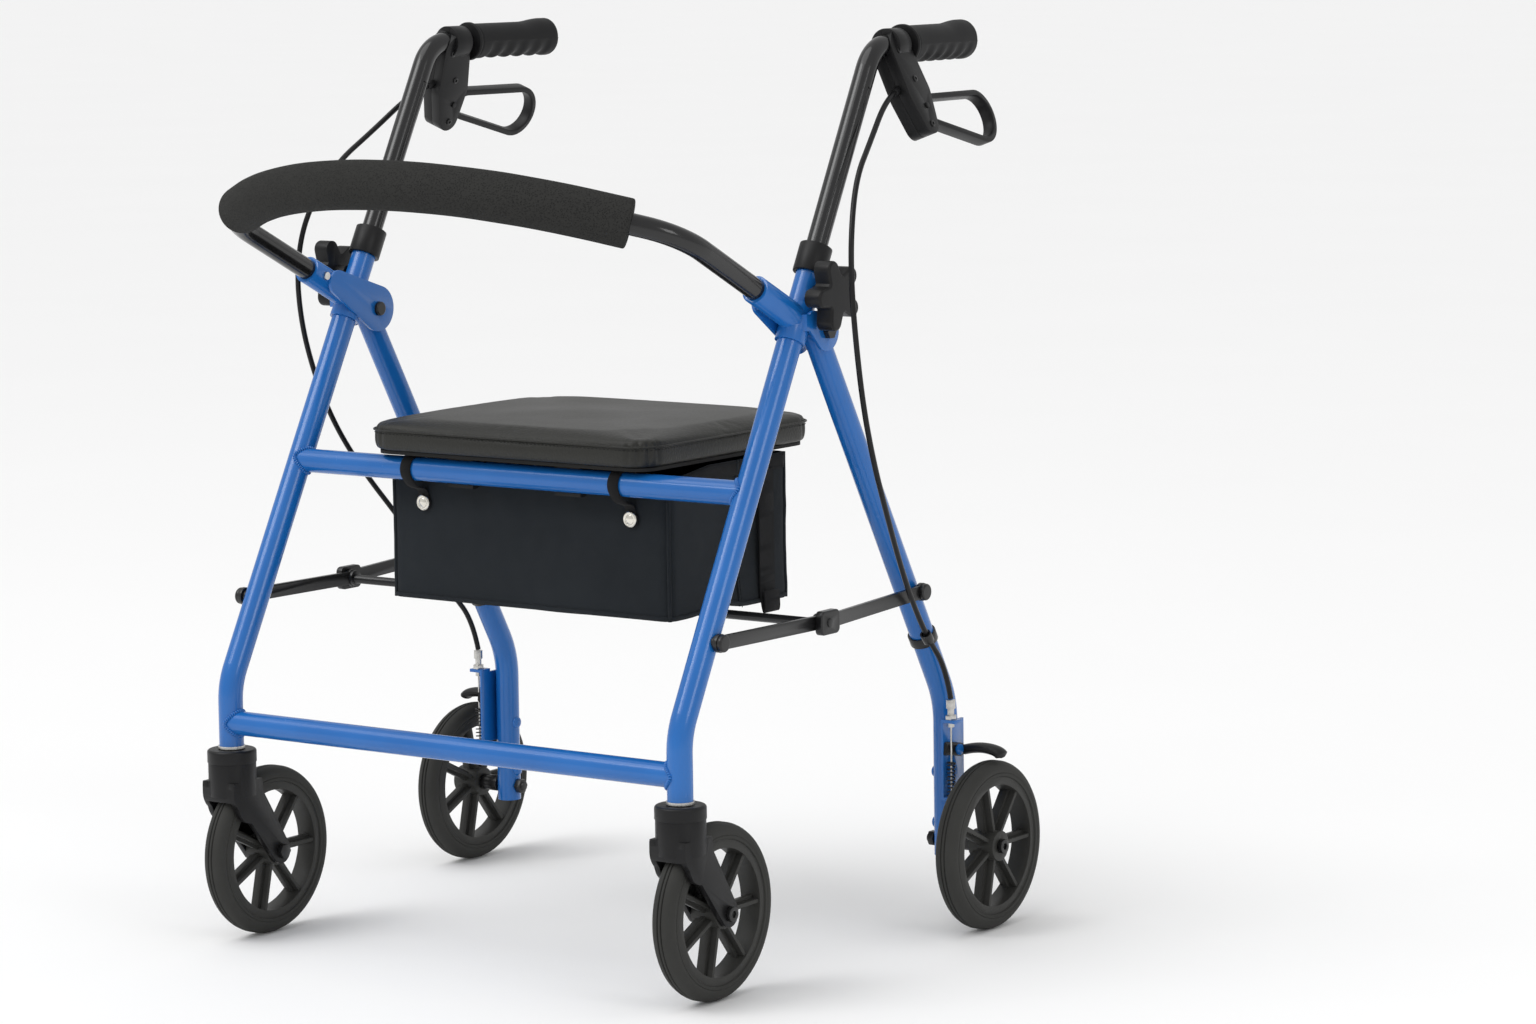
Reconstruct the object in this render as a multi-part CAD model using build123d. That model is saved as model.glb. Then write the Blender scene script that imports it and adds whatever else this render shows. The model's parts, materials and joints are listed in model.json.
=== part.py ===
from build123d import *
import math
import os

# Folding four-wheel rollator with a padded seat, a backrest loop, a bag and loop brakes.
# Millimetres. +Z is up, the user walks behind it at +Y, the casters lead at -Y, X = 0 is the middle.
# The origin is on the ground, under the middle of the whole walker.

# ---------------------------------------------------------------- driving sizes
LEG_X = 250.0               # front leg plane, from the middle
REAR_LEG_X = 253.0          # rear leg plane
HUB_Y = 11.5                # fold hinge axis
HUB_Z = 556.0
FRONT_LEAN = 28.0           # degrees from vertical
REAR_LEAN = 29.7
LEG_GAP = 25.0              # hinge axis to front leg axis
FRONT_BEND_Z = 233.7        # where the front leg turns vertical
REAR_BEND_Z = 204.8
FRONT_LEG_END_Z = 178.3
REAR_LEG_END_Z = 62.4
LEG_TOP = 62.0              # front leg above the hinge, along the leg

TUBE_R = 11.1               # main tube, 22.2 outside
TUBE_WALL = 1.2
CROSSBAR_R = 10.8
HANDLE_R = 9.5              # handle and backrest tube, 19 outside
HANDLE_WALL = 1.4
LEG_BEND_R = 62.0
REAR_BEND_R = 80.0

SEAT_BAR_Z = 425.1
LOWER_BAR_Z = 199.0

WHEEL_R = 76.2              # six inch wheel
WHEEL_W = 22.0
WHEEL_X = 298.0             # rear wheel, middle of its width
CASTER_TRAIL = 43.0
AXLE_R = 4.0

GRIP_Z = 797.0
GRIP_REACH = 165.0          # from the handle's corner to its end
GRIP_TOE_IN = 4.0           # degrees
GRIP_R = 16.5
GRIP_LENGTH = 118.0
HANDLE_STORED = 150.0       # handle tube inside the leg
HANDLE_BEND_R = 36.0
BRAKE_TILT = 20.0           # brake housing leans outward, degrees

SEAT_WIDTH = 316.0
SEAT_FRONT = 20.0           # ahead of the seat bar
SEAT_DEPTH = 258.0
SEAT_PAD_T = 25.0
SEAT_BOARD_T = 3.0

BAG_WIDTH = 312.0
BAG_DEPTH = 178.0
BAG_HEIGHT = 116.0
BAG_WALL = 2.0

LINK_F_Z = 307.0            # front brace pivot on the front leg
LINK_R_Z = 312.0            # rear brace pivot on the rear leg
LINK_T = 4.0
LINK_H = 12.0
CROSS_ROD_R = 4.0
LINK_SAG = 4.5              # middle pivot below the straight line

BAR_CORNER = (250.0, -174.0, 650.0)
BAR_APEX = (0.0, -334.8, 722.0)
FOAM_R = 21.3
CORNER_R = 62.0            # bends of the backrest bar
ARC_R = 335.0
CABLE_R = 2.5

# ---------------------------------------------------------------- clearances
RUN = 0.05                  # running fit, radial
GAP = 0.4                   # between parts that move past each other
SCREW_GAP = 0.3             # round a cable or a loose screw

# ---------------------------------------------------------------- places worked out from the sizes
tan_front = math.tan(math.radians(FRONT_LEAN))
tan_rear = math.tan(math.radians(REAR_LEAN))
front_up = Vector(0, math.sin(math.radians(FRONT_LEAN)), math.cos(math.radians(FRONT_LEAN)))
front_side = Vector(0, math.cos(math.radians(FRONT_LEAN)), -math.sin(math.radians(FRONT_LEAN)))
hub = Vector(LEG_X, HUB_Y, HUB_Z)
leg_by_hub = hub - front_side * LEG_GAP


def front_axis(z):
    """Point on the front leg's sloping axis at a height."""
    return Vector(LEG_X, leg_by_hub.Y + (z - leg_by_hub.Z) * tan_front, z)


def rear_axis(z):
    """Point on the rear leg's sloping axis at a height."""
    return Vector(REAR_LEG_X, HUB_Y + (HUB_Z - z) * tan_rear, z)


FRONT_BEND = front_axis(FRONT_BEND_Z)
REAR_BEND = rear_axis(REAR_BEND_Z)
STEM_Y = FRONT_BEND.Y
REAR_AXLE_Y = REAR_BEND.Y
SEAT_BAR = front_axis(SEAT_BAR_Z)
leg_top = leg_by_hub + front_up * LEG_TOP
CASTER_Y = STEM_Y + CASTER_TRAIL
REAR_LEG_FACE = REAR_LEG_X + TUBE_R
FRONT_LEG_FACE = LEG_X + TUBE_R

parts = {}


def put(name, shape):
    """Keep a finished piece under its node name."""
    parts[name] = shape


def put_pair(name, shape):
    """Keep a piece for the right side, and its mirror image for the left."""
    put(name + "_right", shape)
    put(name + "_left", mirror(shape, about=Plane.YZ))


def put_both(name, shape):
    """Keep the right and left pieces together in one node."""
    put(name, Compound(children=list(shape.solids()) + list(mirror(shape, about=Plane.YZ).solids())))


def rod(a, b, r):
    """Round bar from one point to another."""
    span = b - a
    return Plane(origin=a, z_dir=span) * Cylinder(r, span.length, align=(Align.CENTER, Align.CENTER, Align.MIN))


def rod_x(x0, x1, y, z, r):
    """Round bar along X."""
    return rod(Vector(x0, y, z), Vector(x1, y, z), r)


def rod_z(z0, z1, x, y, r):
    """Round bar along Z."""
    return rod(Vector(x, y, z0), Vector(x, y, z1), r)


def box_span(x0, x1, y0, y1, z0, z1):
    """Box between two corners."""
    size = (x1 - x0, y1 - y0, z1 - z0)
    return Pos((x0 + x1) / 2, (y0 + y1) / 2, (z0 + z1) / 2) * Box(*size)


def sweep_round(path, r):
    """Round bar along a path."""
    return sweep(Plane(origin=path @ 0, z_dir=path % 0) * Circle(r), path=path)


def bent_tube(points, bend, r, wall):
    """Tube along straight runs with one bend radius, or a list of them."""
    path = FilletPolyline(*points, radius=bend)
    return sweep_round(path, r) - sweep_round(path, r - wall)


def plate_x(x0, x1, face):
    """Flat plate between two X planes; the face is drawn with X as +Y and Y as +Z."""
    plane = Plane(origin=(x0, 0, 0), x_dir=(0, 1, 0), z_dir=(1, 0, 0))
    return extrude(plane * face, amount=x1 - x0)


def hull_of(*rounds):
    """Outline round a few circles, each given as (x, y, radius)."""
    edges = []
    for x, y, r in rounds:
        edges += (Pos(x, y) * Circle(r)).edges()
    return make_hull(edges)


# ---------------------------------------------------------------- front frame
CROSSBAR_END = LEG_X - 2.0  # the coped ends stop short of the leg's axis
COLLAR_L = 26.0
COLLAR_R = 14.5
KNOB_ALONG = 24.0           # height screw above the hinge, along the leg
SCREW_R = 3.9
STEM_R = 6.0
KNOB_POINT = leg_by_hub + front_up * KNOB_ALONG


def make_front_leg():
    """Sloping leg that holds the handle tube, bent to vertical over its caster."""
    points = [leg_top, FRONT_BEND, Vector(LEG_X, STEM_Y, FRONT_LEG_END_Z)]
    tube = bent_tube(points, LEG_BEND_R, TUBE_R, TUBE_WALL)
    screw_hole = rod(KNOB_POINT, KNOB_POINT + Vector(20, 0, 0), SCREW_R + SCREW_GAP)
    link_hole = rod_x(LEG_X, LEG_X + 20, front_axis(LINK_F_Z).Y, LINK_F_Z, 3.0)
    return tube - screw_hole - link_hole


def make_seat_crossbar():
    """Bar between the front legs, coped onto them."""
    bar = rod_x(-CROSSBAR_END, CROSSBAR_END, SEAT_BAR.Y, SEAT_BAR.Z, CROSSBAR_R)
    bore = rod_x(-LEG_X, LEG_X, SEAT_BAR.Y, SEAT_BAR.Z, CROSSBAR_R - TUBE_WALL)
    leg = rod(front_axis(SEAT_BAR_Z - 60), front_axis(SEAT_BAR_Z + 60), TUBE_R)
    return bar - bore - leg - mirror(leg, about=Plane.YZ)


def make_lower_crossbar():
    """Bar between the feet of the front legs."""
    bar = rod_x(-CROSSBAR_END, CROSSBAR_END, STEM_Y, LOWER_BAR_Z, CROSSBAR_R)
    bore = rod_x(-LEG_X, LEG_X, STEM_Y, LOWER_BAR_Z, CROSSBAR_R - TUBE_WALL)
    leg = rod_z(LOWER_BAR_Z - 30, FRONT_BEND_Z, LEG_X, STEM_Y, TUBE_R)
    slope = rod(front_axis(FRONT_BEND_Z), front_axis(FRONT_BEND_Z + 60), TUBE_R)
    cope = leg + slope
    return bar - bore - cope - mirror(cope, about=Plane.YZ)


SOCKET_R = 12.4
SOCKET_END = 92.0           # from the hinge axis
BAR_IN_SOCKET = 46.0        # where the backrest bar's end sits
bar_dir = (Vector(*BAR_CORNER) - hub)
bar_dir = Vector(0, bar_dir.Y, bar_dir.Z).normalized()
socket_tip = hub + bar_dir * SOCKET_END
bar_start = hub + bar_dir * BAR_IN_SOCKET
DISC_R = 21.0
PLATE_T = 3.0
PLATE_IN = LEG_X - TUBE_R - PLATE_T - 0.9
PLATE_OUT = REAR_LEG_FACE + GAP
BOLT_R = 4.0
BUTTON_R = 3.5
button_point = hub + bar_dir * (SOCKET_END - 14)


def yz(p):
    """A point's Y and Z as a pair for a flat outline."""
    return p.Y, p.Z


def make_hinge_bracket():
    """Bracket welded across the front leg: backrest socket in front, hinge ears behind."""
    root = hub + bar_dir * 30
    inner_face = hull_of((*yz(hub), DISC_R), (*yz(root), SOCKET_R), (*yz(hub + bar_dir * 62), SOCKET_R - 1))
    inner = plate_x(PLATE_IN, PLATE_IN + PLATE_T, inner_face)
    outer_face = hull_of((*yz(hub), DISC_R - 4), (*yz(hub + bar_dir * 22), SOCKET_R - 3))
    outer = plate_x(PLATE_OUT, PLATE_OUT + PLATE_T, outer_face)
    wrap = rod(leg_by_hub - front_up * 22, leg_by_hub + front_up * 13, TUBE_R + 2.2)
    socket = rod(hub + bar_dir * 18, socket_tip, SOCKET_R)
    tie = box_span(LEG_X, PLATE_OUT + PLATE_T, leg_by_hub.Y - 9, leg_by_hub.Y + 5, leg_by_hub.Z - 9, leg_by_hub.Z + 5)
    leg = rod(leg_by_hub - front_up * 90, leg_by_hub + front_up * 90, TUBE_R)
    rear_room = rod_x(PLATE_IN + PLATE_T, PLATE_OUT, HUB_Y, HUB_Z, TUBE_R + 2.2)
    bar_bore = rod(bar_start, socket_tip + bar_dir * 5, HANDLE_R + RUN)
    bolt_hole = rod_x(PLATE_IN - 5, PLATE_OUT + 8, HUB_Y, HUB_Z, BOLT_R)
    button_hole = rod(button_point - Vector(20, 0, 0), button_point, BUTTON_R + SCREW_GAP)
    screw_hole = rod(KNOB_POINT, KNOB_POINT + Vector(40, 0, 0), SCREW_R + SCREW_GAP)
    swing = rod_x(PLATE_IN + PLATE_T, PLATE_OUT, HUB_Y, HUB_Z, DISC_R + 6)
    swing -= rod(leg_by_hub - front_up * 90, leg_by_hub + front_up * 90, TUBE_R + 1.6)
    half = plate_x(PLATE_IN, PLATE_OUT + PLATE_T, Pos(HUB_Y + 40, HUB_Z - 18) * Rectangle(80, 120))
    body = inner + wrap + socket - rear_room - (swing & half)
    body = body + outer + tie + inner
    return body - leg - bar_bore - bolt_hole - button_hole - screw_hole


def make_hub_bolt():
    """Hinge bolt with a domed head inside and a nut outside."""
    shaft = rod_x(PLATE_IN, PLATE_OUT + PLATE_T, HUB_Y, HUB_Z, BOLT_R)
    head = rod_x(PLATE_IN - 3.5, PLATE_IN, HUB_Y, HUB_Z, 6.5)
    head = fillet(head.edges().group_by(Axis.X)[0], 1.5)
    nut_face = Pos(*yz(hub)) * RegularPolygon(6.5, 6)
    nut = plate_x(PLATE_OUT + PLATE_T, PLATE_OUT + PLATE_T + 5, nut_face)
    return shaft + head + nut


def make_handle_collar():
    """Plastic guide on the leg's top that the handle tube slides through."""
    low = leg_top - front_up * (COLLAR_L - 6)
    high = leg_top + front_up * 6
    shell = rod(low, high, COLLAR_R)
    leg_room = rod(low - front_up, leg_top, TUBE_R)
    bore = rod(low - front_up, high + front_up, HANDLE_R + RUN)
    return shell - leg_room - bore


def make_stem_bush():
    """Steel bush in the leg's foot that the caster stem turns in."""
    flange = rod_z(FRONT_LEG_END_Z - 2.5, FRONT_LEG_END_Z, LEG_X, STEM_Y, TUBE_R + 1)
    plug = rod_z(FRONT_LEG_END_Z, FRONT_LEG_END_Z + 26, LEG_X, STEM_Y, TUBE_R - TUBE_WALL)
    bore = rod_z(FRONT_LEG_END_Z - 5, FRONT_LEG_END_Z + 30, LEG_X, STEM_Y, STEM_R + RUN)
    return flange + plug - bore


# ---------------------------------------------------------------- backrest
def backrest_path():
    """Line of the backrest bar: out of each socket, round a corner and across in one arc."""
    corner = Vector(*BAR_CORNER)
    apex = Vector(*BAR_APEX)
    mirrored = [Vector(-p.X, p.Y, p.Z) for p in (corner, bar_start)]
    return FilletPolyline(bar_start, corner, apex, *mirrored, radius=[CORNER_R, ARC_R, CORNER_R])


def make_backrest_bar():
    """Steel loop that plugs into both sockets."""
    path = backrest_path()
    bar = sweep_round(path, HANDLE_R) - sweep_round(path, HANDLE_R - HANDLE_WALL)
    hole = rod(button_point - Vector(20, 0, 0), button_point, BUTTON_R + SCREW_GAP)
    return bar - hole - mirror(hole, about=Plane.YZ)


FOAM_FROM_CORNER = 43.0     # bare bar between the corner and the foam


def make_backrest_foam():
    """Foam sleeve on the middle of the bar."""
    corner = Vector(*BAR_CORNER)
    apex = Vector(*BAR_APEX)
    start = corner + (apex - corner).normalized() * FOAM_FROM_CORNER
    path = FilletPolyline(start, apex, Vector(-start.X, start.Y, start.Z), radius=ARC_R)
    return sweep_round(path, FOAM_R) - sweep_round(path, HANDLE_R)


def make_backrest_button():
    """Spring button that locks the bar in its socket."""
    end = button_point.X - SOCKET_R - 1.6
    pin = rod(Vector(end, *yz(button_point)), button_point - Vector(3, 0, 0), BUTTON_R)
    flange_x = button_point.X - HANDLE_R + HANDLE_WALL + 3.6
    flange = rod_x(flange_x, flange_x + 1.5, *yz(button_point), BUTTON_R + 1)
    return pin + flange


# ---------------------------------------------------------------- rear legs
BUSH_BORE = BOLT_R + RUN
LINK_PIN_R = 3.0
REAR_STUD_X = REAR_LEG_FACE + 10.6


def make_rear_leg():
    """Sloping leg with a hinge eye on top, bent to vertical beside its wheel."""
    top = Vector(REAR_LEG_X, *yz(hub))
    tube = bent_tube([top, REAR_BEND, Vector(REAR_LEG_X, REAR_AXLE_Y, REAR_LEG_END_Z)], REAR_BEND_R, TUBE_R, TUBE_WALL)
    eye = rod_x(REAR_LEG_X - TUBE_R, REAR_LEG_X + TUBE_R, HUB_Y, HUB_Z, TUBE_R)
    axle_hole = rod_x(REAR_LEG_X - 20, REAR_LEG_X + 20, REAR_AXLE_Y, WHEEL_R, AXLE_R)
    bore = rod_x(REAR_LEG_X - 20, REAR_LEG_X + 20, HUB_Y, HUB_Z, BUSH_BORE)
    link_hole = rod_x(REAR_LEG_X, REAR_LEG_X + 20, *yz(rear_axis(LINK_R_Z)), LINK_PIN_R)
    return tube + eye - axle_hole - bore - link_hole


WHEEL_GAP = 0.5
HUB_HALF = 13.0


def make_rear_axle():
    """Axle bolt through the leg, its spacer sleeve, washer and both ends."""
    inner_end = WHEEL_X - HUB_HALF - WHEEL_GAP
    outer_end = WHEEL_X + HUB_HALF + WHEEL_GAP
    leg_in = REAR_LEG_X - TUBE_R
    shaft = rod_x(leg_in - 8, outer_end + 1, REAR_AXLE_Y, WHEEL_R, AXLE_R)
    sleeve = rod_x(REAR_LEG_FACE + 0.2, inner_end, REAR_AXLE_Y, WHEEL_R, 7.5)
    head = rod_x(outer_end, outer_end + 4.5, REAR_AXLE_Y, WHEEL_R, 6.5)
    socket = plate_x(outer_end + 2, outer_end + 6, Pos(REAR_AXLE_Y, WHEEL_R) * RegularPolygon(3.2, 6))
    nut = plate_x(leg_in - 6, leg_in, Pos(REAR_AXLE_Y, WHEEL_R) * RegularPolygon(7.2, 6))
    return shaft + sleeve + (head - socket) + nut


# ---------------------------------------------------------------- wheels
SPOKES = 7
RIM_OUT = 62.0
RIM_IN = 55.0
BOSS_R = 13.5


def make_tyre(x, y):
    """Solid tyre with two grooves round the tread."""
    half = WHEEL_W / 2
    with BuildSketch(Plane.XZ) as section:
        with BuildLine():
            Polyline((-half, RIM_OUT), (-half, WHEEL_R - 8), (-half + 4.5, WHEEL_R - 1.2), (-2.6, WHEEL_R),
                     (-2.1, WHEEL_R - 1.4), (-1.2, WHEEL_R - 1.4), (-0.7, WHEEL_R), (0.7, WHEEL_R),
                     (1.2, WHEEL_R - 1.4), (2.1, WHEEL_R - 1.4), (2.6, WHEEL_R), (half - 4.5, WHEEL_R - 1.2),
                     (half, WHEEL_R - 8), (half, RIM_OUT), close=True)
        make_face()
    return Pos(x, y, WHEEL_R) * revolve(section.sketch, Axis.X)


def make_rim(x, y):
    """Spoked rim with a bored hub."""
    half = WHEEL_W / 2
    ring = rod_x(-half + 1, half - 1, 0, 0, RIM_OUT) - rod_x(-half, half, 0, 0, RIM_IN)
    hub_boss = rod_x(-HUB_HALF, HUB_HALF, 0, 0, BOSS_R)
    rim = ring + hub_boss
    for i in range(SPOKES):
        web = box_span(-2, 2, -4.5, 4.5, BOSS_R - 4, RIM_IN + 2)
        rib = box_span(-8.5, 8.5, -1.6, 1.6, BOSS_R - 4, RIM_IN + 2)
        rim += Rot(X=360 / SPOKES * (i + 0.25)) * (web + rib)
    rim -= rod_x(-40, 40, 0, 0, AXLE_R + RUN)
    return Pos(x, y, WHEEL_R) * rim


# ---------------------------------------------------------------- casters
FORK_ARM_T = 5.5
FORK_GAP = 2.2              # wheel side to fork arm
HEAD_R = 21.5
HEAD_TOP = FRONT_LEG_END_Z - 3.2
HEAD_LOW = HEAD_TOP - 42
CAP_T = 12.0
ARM_IN = WHEEL_W / 2 + FORK_GAP


def make_caster_fork():
    """One-piece plastic fork: a round head and two arms that sweep back to the axle."""
    head = rod_z(HEAD_LOW, HEAD_TOP - CAP_T, 0, 0, HEAD_R)
    arm = hull_of((0, HEAD_LOW + 9, 19.5), (4, HEAD_LOW - 8, 17)) + hull_of((6, HEAD_LOW - 4, 15), (CASTER_TRAIL, WHEEL_R, 11.5))
    arms = plate_x(ARM_IN, ARM_IN + FORK_ARM_T, arm) + plate_x(-ARM_IN - FORK_ARM_T, -ARM_IN, arm)
    cheek = plate_x(-ARM_IN - FORK_ARM_T, ARM_IN + FORK_ARM_T, hull_of((0, HEAD_LOW + 8, 19.5), (0, HEAD_LOW + 4, 19.5)))
    roof = rod_x(-ARM_IN, ARM_IN, CASTER_TRAIL, WHEEL_R, WHEEL_R + 4)
    body = head + (cheek - roof) + arms
    body -= roof
    body -= rod_z(HEAD_LOW - 40, HEAD_TOP + 5, 0, 0, STEM_R)
    body -= rod_x(-40, 40, CASTER_TRAIL, WHEEL_R, AXLE_R)
    keep = rod_z(HEAD_LOW - 10, HEAD_TOP, 0, 0, HEAD_R) + box_span(-19, 19, -30, 80, 0, HEAD_LOW + 14)
    return Pos(LEG_X, STEM_Y, 0) * (body & keep)


def make_caster_cap():
    """Cap ring over the swivel bearing."""
    ring = rod_z(HEAD_TOP - CAP_T, HEAD_TOP, LEG_X, STEM_Y, HEAD_R + 0.6)
    ring = fillet(ring.edges().group_by(Axis.Z)[-1], 2.5)
    return ring - rod_z(HEAD_TOP - CAP_T - 1, HEAD_TOP + 1, LEG_X, STEM_Y, STEM_R)


def make_caster_stem():
    """Swivel stem: turns in the leg's bush and is held by the fork's nut."""
    stem = rod_z(HEAD_LOW + 14, FRONT_LEG_END_Z + 24, LEG_X, STEM_Y, STEM_R)
    return stem


def make_caster_axle():
    """Wheel bolt through both fork arms."""
    side = ARM_IN + FORK_ARM_T
    shaft = rod_x(LEG_X - side - 5, LEG_X + side, CASTER_Y, WHEEL_R, AXLE_R)
    head = rod_x(LEG_X + side, LEG_X + side + 4, CASTER_Y, WHEEL_R, 6.5)
    socket = plate_x(LEG_X + side + 1.8, LEG_X + side + 6, Pos(CASTER_Y, WHEEL_R) * RegularPolygon(3.2, 6))
    nut = plate_x(LEG_X - side - 5, LEG_X - side, Pos(CASTER_Y, WHEEL_R) * RegularPolygon(7.0, 6))
    return shaft + (head - socket) + nut


# ---------------------------------------------------------------- handles
handle_corner = front_axis(GRIP_Z)
toe = math.radians(GRIP_TOE_IN)
grip_dir = Vector(-math.sin(toe), math.cos(toe), 0)
FLUTE_R = 3.0
FLUTE_DEPTH = 1.3
TUBE_BOTTOM = leg_top - front_up * HANDLE_STORED


def make_handle_tube():
    """Handle tube: slides in the leg, turns back at the top and ends in the grip."""
    end = handle_corner + grip_dir * GRIP_REACH
    tube = bent_tube([TUBE_BOTTOM, handle_corner, end], HANDLE_BEND_R, HANDLE_R, HANDLE_WALL)
    flute_x = Vector(HANDLE_R - FLUTE_DEPTH + FLUTE_R, 0, 0)
    flute_top = handle_corner - front_up * 40
    flute = rod(TUBE_BOTTOM - front_up + flute_x, flute_top + flute_x, FLUTE_R)
    shift = Vector(2 * flute_x.X, 0, 0)
    return tube - flute - (Pos(-shift.X, 0, 0) * flute)


GRIP_START = GRIP_REACH - GRIP_LENGTH + 4


def make_grip():
    """Rubber grip with a closed end and a raised palm stop."""
    start = handle_corner + grip_dir * GRIP_START
    tip = start + grip_dir * GRIP_LENGTH
    sleeve = rod(start, tip, GRIP_R)
    sleeve = fillet(sleeve.edges().filter_by(GeomType.CIRCLE), 3)
    collar = rod(start, start + grip_dir * 4, GRIP_R + 1.5)
    tube = rod(start - grip_dir, handle_corner + grip_dir * GRIP_REACH, HANDLE_R)
    return sleeve + collar - tube


tilt = math.radians(BRAKE_TILT)
up_hint = Vector(-math.sin(tilt), 0, math.cos(tilt))
up_brake = (up_hint - grip_dir * up_hint.dot(grip_dir)).normalized()
brake_origin = handle_corner + grip_dir * (GRIP_START - 18)
brake_frame = Plane(origin=brake_origin, x_dir=grip_dir.cross(up_brake), z_dir=up_brake)
brake_place = brake_frame.location
HOUSING_HALF = 10.5
CAVITY_HALF = 6.6
RING_W = 20.0
PIVOT = (9.0, -60.0)        # lever pivot in the housing: back and up
PIVOT_R = 2.5
LEVER_HALF = 6.0


def local_rod(a, b, r):
    """Round bar between two points of the brake's own frame."""
    return rod(Vector(*a), Vector(*b), r)


def make_brake_housing():
    """Two shells clamped round the tube, screws, the lever's pivot and the cable ferrule."""
    shield = hull_of((-3, -6, 16.5), (4, -46, 19.0), (7, -74, 12.0))
    room = hull_of((10, -42, 14.5), (11, -70, 9.0), (40, -44, 14.0), (40, -80, 14.0))
    ring = local_rod((0, -RING_W / 2, 0), (0, RING_W / 2, 0), 15.0)
    solid = plate_x(-HOUSING_HALF, HOUSING_HALF, shield) + ring
    solid -= plate_x(-CAVITY_HALF, CAVITY_HALF, room)
    solid -= local_rod((0, -60, 0), (0, 60, 0), HANDLE_R)
    split = box_span(-0.15, 0.15, -80, 80, -120, 40)
    shells = solid - split
    pin = local_rod((-HOUSING_HALF - 1.2, *PIVOT), (HOUSING_HALF + 1.2, *PIVOT), PIVOT_R)
    ferrule_a = (0, -10.5, -40)
    ferrule_b = (0, -22.5, -44)
    ferrule = local_rod(ferrule_a, ferrule_b, 3.6)
    shells -= pin
    shells -= ferrule
    pieces = list(shells.solids()) + list(pin.solids()) + list(ferrule.solids())
    placed = [brake_place * piece for piece in pieces]
    bend_path = FilletPolyline(TUBE_BOTTOM, handle_corner, handle_corner + grip_dir * GRIP_REACH, radius=HANDLE_BEND_R)
    bend_room = sweep_round(bend_path, HANDLE_R)
    cut = [piece - bend_room for piece in placed]
    return Compound(children=[solid for piece in cut for solid in piece.solids()])


def make_brake_lever():
    """Closed loop lever on its pivot boss."""
    inside = hull_of((32, -63, 9.5), (108, -73, 19.5))
    loop = hull_of((32, -63, 15.0), (108, -73, 25.0)) - inside
    boss = Pos(*PIVOT) * Circle(9.0)
    neck = hull_of((*PIVOT, 6.0), (24, -62, 8.0)) - inside
    lever = plate_x(-LEVER_HALF, LEVER_HALF, loop + boss + neck)
    bore = local_rod((-20, *PIVOT), (20, *PIVOT), PIVOT_R + RUN)
    return brake_place * (lever - bore)


KNOB_LOBES = 5
KNOB_T = 16.0
KNOB_X = PLATE_OUT + PLATE_T + 5.6


def make_knob():
    """Five-lobed clamp knob with its screw, whose tip runs in the handle tube's flute."""
    y, z = yz(KNOB_POINT)
    lobes = Circle(17.5)
    for i in range(KNOB_LOBES):
        angle = math.radians(360 / KNOB_LOBES * i + 40)
        lobes += hull_of((0, 0, 11), (23.5 * math.cos(angle), 23.5 * math.sin(angle), 8.0))
    head = plate_x(KNOB_X, KNOB_X + KNOB_T, Pos(y, z) * lobes)
    head = fillet(head.edges().group_by(Axis.X)[-1], 2.5)
    neck = rod_x(FRONT_LEG_FACE + 1, KNOB_X, y, z, 7)
    tip_x = LEG_X + HANDLE_R - FLUTE_DEPTH + 0.4
    screw = rod_x(tip_x + 1.0, KNOB_X, y, z, SCREW_R)
    tip = rod_x(tip_x, tip_x + 1.0, y, z, 1.2)
    return head + neck + screw + tip


# ---------------------------------------------------------------- rear brakes
SHOE_GAP = 2.3
ARM_PIVOT = Vector(0, REAR_AXLE_Y - 8, 162)
WIRE_Y = REAR_AXLE_Y - 20
BRACKET_T = 2.5
BRACKET_X = REAR_LEG_FACE + 0.1
ARM_X = BRACKET_X + BRACKET_T + GAP
ADJUSTER_X = REAR_LEG_FACE + 8


def make_brake_bracket():
    """Steel plate on the leg that carries the arm's pivot and the cable adjuster."""
    plate = box_span(BRACKET_X, BRACKET_X + BRACKET_T, WIRE_Y - 5, REAR_AXLE_Y + 9, 120, 188)
    flange = box_span(BRACKET_X, ADJUSTER_X + 7, WIRE_Y - 5, WIRE_Y + 8, 188, 191)
    tab = box_span(BRACKET_X, ADJUSTER_X + 5, WIRE_Y - 5, WIRE_Y + 6, 117, 120)
    pin = rod_x(BRACKET_X, ARM_X + 6.5, ARM_PIVOT.Y, ARM_PIVOT.Z, 3.0)
    stop = rod_x(ARM_X + 5.4, ARM_X + 7.4, ARM_PIVOT.Y, ARM_PIVOT.Z, 5.0)
    holes = rod_z(110, 200, ADJUSTER_X, WIRE_Y, 3.0)
    return plate + flange + tab - holes + pin + stop


def make_cable_adjuster():
    """Barrel adjuster with its lock nut, the inner wire and the nipple nut at its lower end."""
    barrel = rod_z(184, 206, ADJUSTER_X, WIRE_Y, 3.0)
    cap = rod_z(201, 209, ADJUSTER_X, WIRE_Y, 4.2)
    nut = extrude(Pos(ADJUSTER_X, WIRE_Y, 191) * RegularPolygon(5.4, 6), amount=4)
    wire = rod_z(112, 184, ADJUSTER_X, WIRE_Y, 0.9)
    nipple = extrude(Pos(ADJUSTER_X, WIRE_Y, 111) * RegularPolygon(4.2, 6), amount=6)
    plug = rod_z(117, 120, ADJUSTER_X, WIRE_Y, 3.0)
    return barrel + cap + nut + wire + nipple + plug


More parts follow.
